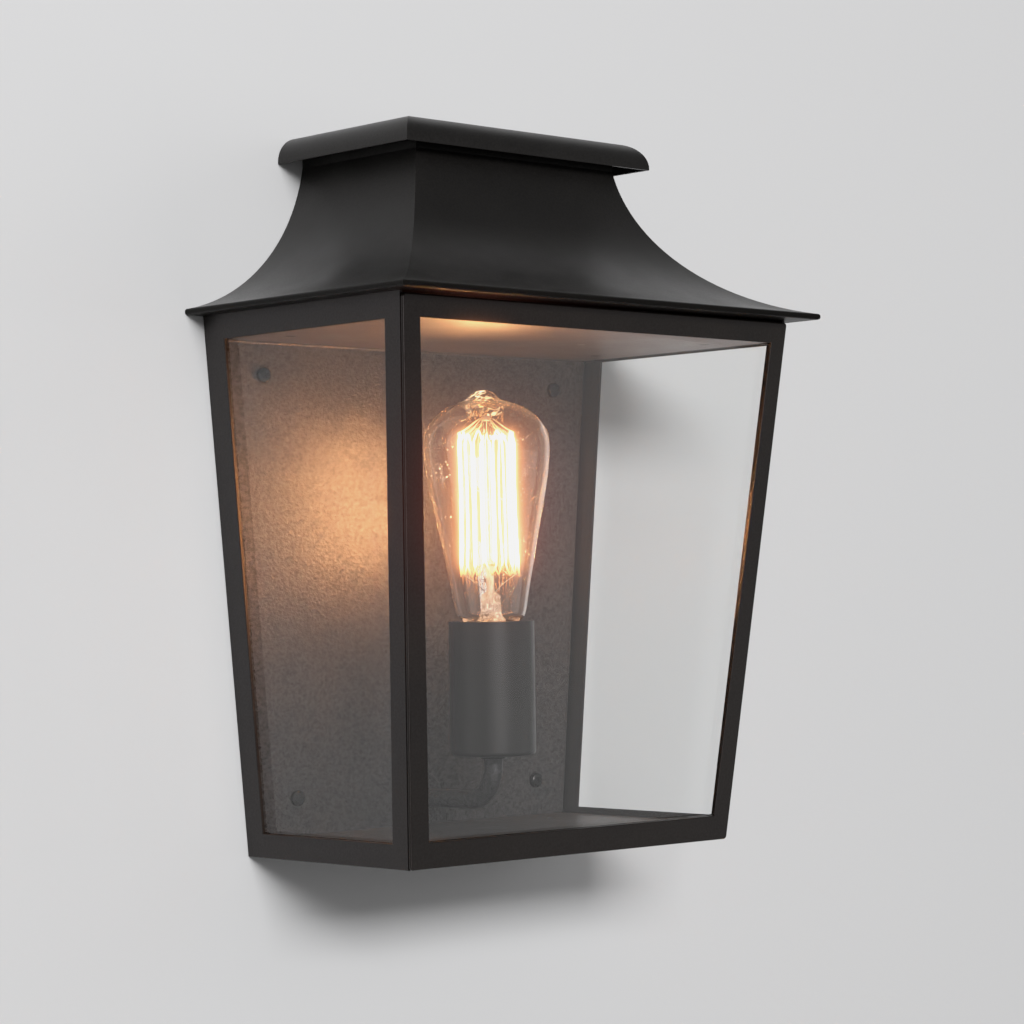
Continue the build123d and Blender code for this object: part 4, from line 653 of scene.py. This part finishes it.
world = bpy.data.worlds.new("studio")
scene.world = world
world.use_nodes = True
wt = world.node_tree
ramp = wt.nodes.new("ShaderNodeValToRGB")
split = wt.nodes.new("ShaderNodeSeparateXYZ")
lift = wt.nodes.new("ShaderNodeMath")
lift.operation = "MULTIPLY_ADD"
lift.inputs[1].default_value, lift.inputs[2].default_value = 0.5, 0.5
wt.links.new(wt.nodes.new("ShaderNodeTexCoord").outputs["Generated"], split.inputs[0])
wt.links.new(split.outputs[2], lift.inputs[0])
wt.links.new(lift.outputs[0], ramp.inputs[0])
wt.links.new(ramp.outputs[0], wt.nodes["Background"].inputs["Color"])
wt.nodes["Background"].inputs["Strength"].default_value = 1.0
SKY = ((0.0, 0.05), (0.21, 0.06), (0.33, 0.13), (0.475, 0.30), (0.57, 0.30), (0.71, 0.23), (1.0, 0.20))   # sine of elevation from -1 to 1, light
while len(ramp.color_ramp.elements) < len(SKY):
    ramp.color_ramp.elements.new(0.5)
for e, (pos, v) in zip(ramp.color_ramp.elements, SKY):
    e.position, e.color = pos, (v, v, v * 1.01, 1.0)


def area(name, where, aim, wide, high, power, colour=(1, 1, 1)):
    d = bpy.data.lights.new(name, "AREA")
    d.shape, d.size, d.size_y, d.energy, d.color = "RECTANGLE", wide, high, power, colour
    o = bpy.data.objects.new(name, d)
    scene.collection.objects.link(o)
    o.location = where
    o.rotation_euler = (Vector(aim) - Vector(where)).to_track_quat("-Z", "Y").to_euler()
    o.visible_camera = False
    return o


area("key", (-1.50, -3.88, 1.30), (0, 0, 0.0), 2.2, 0.8, KEY_POWER, (1.0, 1.0, 1.01))


# a soft panel that the front pane and the lamp mirror, and a strip that the door's rounded edge catches
veil = area("veil", (1.69, -1.84, -0.50), (0, -0.13, 0), 1.7, 1.0, 2.6)
veil.light_linking.receiver_collection = group("veil_on", (cad["door_glass"], cad["door_frame"], cad["roof_cap"], envelope, cad["lampholder_cover"], cad["holder_collar"]), "INCLUDE")
strip = area("strip", (-1.55, -1.90, -0.10), (0, -0.1, 0), 0.35, 1.8, 17.0)
strip.light_linking.receiver_collection = group("strip_on", (cad["door_frame"],), "INCLUDE")
fill = area("fill", (3.2, -2.2, 0.6), (0, 0, 0), 2.5, 2.5, 17.0)
fill.light_linking.receiver_collection = group("fill_on", (wall,), "INCLUDE")
# lamplight on the windows' cut edges, and its faint glow along the eave's underside
edge = area("edge_glow", (-0.015, LAMP_Y, at(170.0)), (-0.125, -0.012, at(150.0)), 0.03, 0.07, 1.0, LAMP_RGB)
edge.light_linking.receiver_collection = group("edge_on", (cad["left_side_frame"],), "INCLUDE")
under_eave = area("eave_glow", (0, LAMP_Y, at(185.0)), (-0.03, -0.15, at(266.0)), 0.03, 0.05, 0.007, (1.0, 0.36, 0.26))
under_eave.light_linking.receiver_collection = group("eave_on", (cad["roof_base"],), "INCLUDE")
under_eave.light_linking.blocker_collection = group("eave_off", (floor,), "INCLUDE")


def rear_sun(name, along, power, size, onto):
    """Light for the side that faces the wall; it reaches nothing else."""
    d = bpy.data.lights.new(name, "SUN")
    d.energy, d.angle = power, size
    o = bpy.data.objects.new(name, d)
    scene.collection.objects.link(o)
    o.rotation_euler = Vector(along).to_track_quat("-Z", "Y").to_euler()
    o.light_linking.receiver_collection = group(name + "_on", [cad[k] for k in onto], "INCLUDE")
    o.light_linking.blocker_collection = group(name + "_off", [cad[k] for k in cad], "INCLUDE")
    return o


REAR = ("wall_bracket", "bracket_nuts", "roof_back", "cable_grommet", "back_panel", "live_wire", "neutral_wire", "earth_wire")
rear_sun("rear_high", (-0.25, -1.0, -0.55), 1.5, 0.5, REAR)
rear_sun("rear_low", (0.45, -1.0, 0.15), 0.7, 0.8, REAR)
rear_sun("rear_rim", (0.0, -1.0, 0.0), 0.28, 0.12, ("left_side_frame", "right_side_frame", "roof_shell", "roof_cap"))

# ------------------------------------------------------------------ camera, solved from the frame's corners
fwd = Vector((math.sin(YAW) * math.cos(PITCH_UP), math.cos(YAW) * math.cos(PITCH_UP), math.sin(PITCH_UP)))
right = Vector((math.cos(YAW), -math.sin(YAW), 0))
up = right.cross(fwd)
r2 = right * math.cos(ROLL) + up * math.sin(ROLL)
u2 = up * math.cos(ROLL) - right * math.sin(ROLL)
lens = bpy.data.cameras.new("camera")
lens.sensor_fit, lens.sensor_width, lens.sensor_height = "HORIZONTAL", 36.0, 36.0
lens.lens = FOCAL / 1024 * 36.0
lens.clip_start, lens.clip_end = 0.05, 50.0
camera = bpy.data.objects.new("camera", lens)
scene.collection.objects.link(camera)
m = Matrix((r2, u2, -fwd)).transposed().to_4x4()
m.translation = (-0.9830275, -1.1264800, at(126.7633156))
camera.matrix_world = m
scene.camera = camera

scene.view_settings.view_transform = "Standard"
scene.view_settings.look = "None"

# ------------------------------------------------------------------ lens bloom and a soft shoulder
scene.use_nodes = True
ct = scene.node_tree
ct.nodes.clear()


def glare(kind, source, threshold, top, strength, size, tint):
    g = ct.nodes.new("CompositorNodeGlare")
    g.glare_type, g.quality = kind, "HIGH"
    for k, v in (("Threshold", threshold), ("Smoothness", 0.4), ("Clamp", True), ("Maximum", top), ("Strength", strength), ("Size", size), ("Tint", (*tint, 1.0))):
        g.inputs[k].default_value = v
    ct.links.new(source, g.inputs["Image"])
    return g.outputs["Image"]


picture = ct.nodes.new("CompositorNodeRLayers").outputs["Image"]
picture = glare("BLOOM", picture, 1.0, 30.0, 0.74, 0.03, (0.97, 0.88, 0.78))
picture = glare("FOG_GLOW", picture, 1.0, 20.0, 0.095, 0.65, (1.0, 0.20, 0.20))
under = ct.nodes.new("CompositorNodeExposure")
under.inputs["Exposure"].default_value = -2.0
ct.links.new(picture, under.inputs["Image"])
shoulder = ct.nodes.new("CompositorNodeCurveRGB")
curve = shoulder.mapping.curves[3]
for x, y in ((0.172, 0.688), (0.21, 0.795), (0.30, 0.862), (0.55, 0.891)):
    curve.points.new(x, y)
curve.points[-1].location = (1.0, 0.902)
shoulder.mapping.extend = "HORIZONTAL"
shoulder.mapping.update()
ct.links.new(under.outputs["Image"], shoulder.inputs["Image"])
ct.links.new(shoulder.outputs["Image"], ct.nodes.new("CompositorNodeComposite").inputs["Image"])
scene.cycles.transparent_max_bounces = 32
scene.cycles.max_bounces = 12
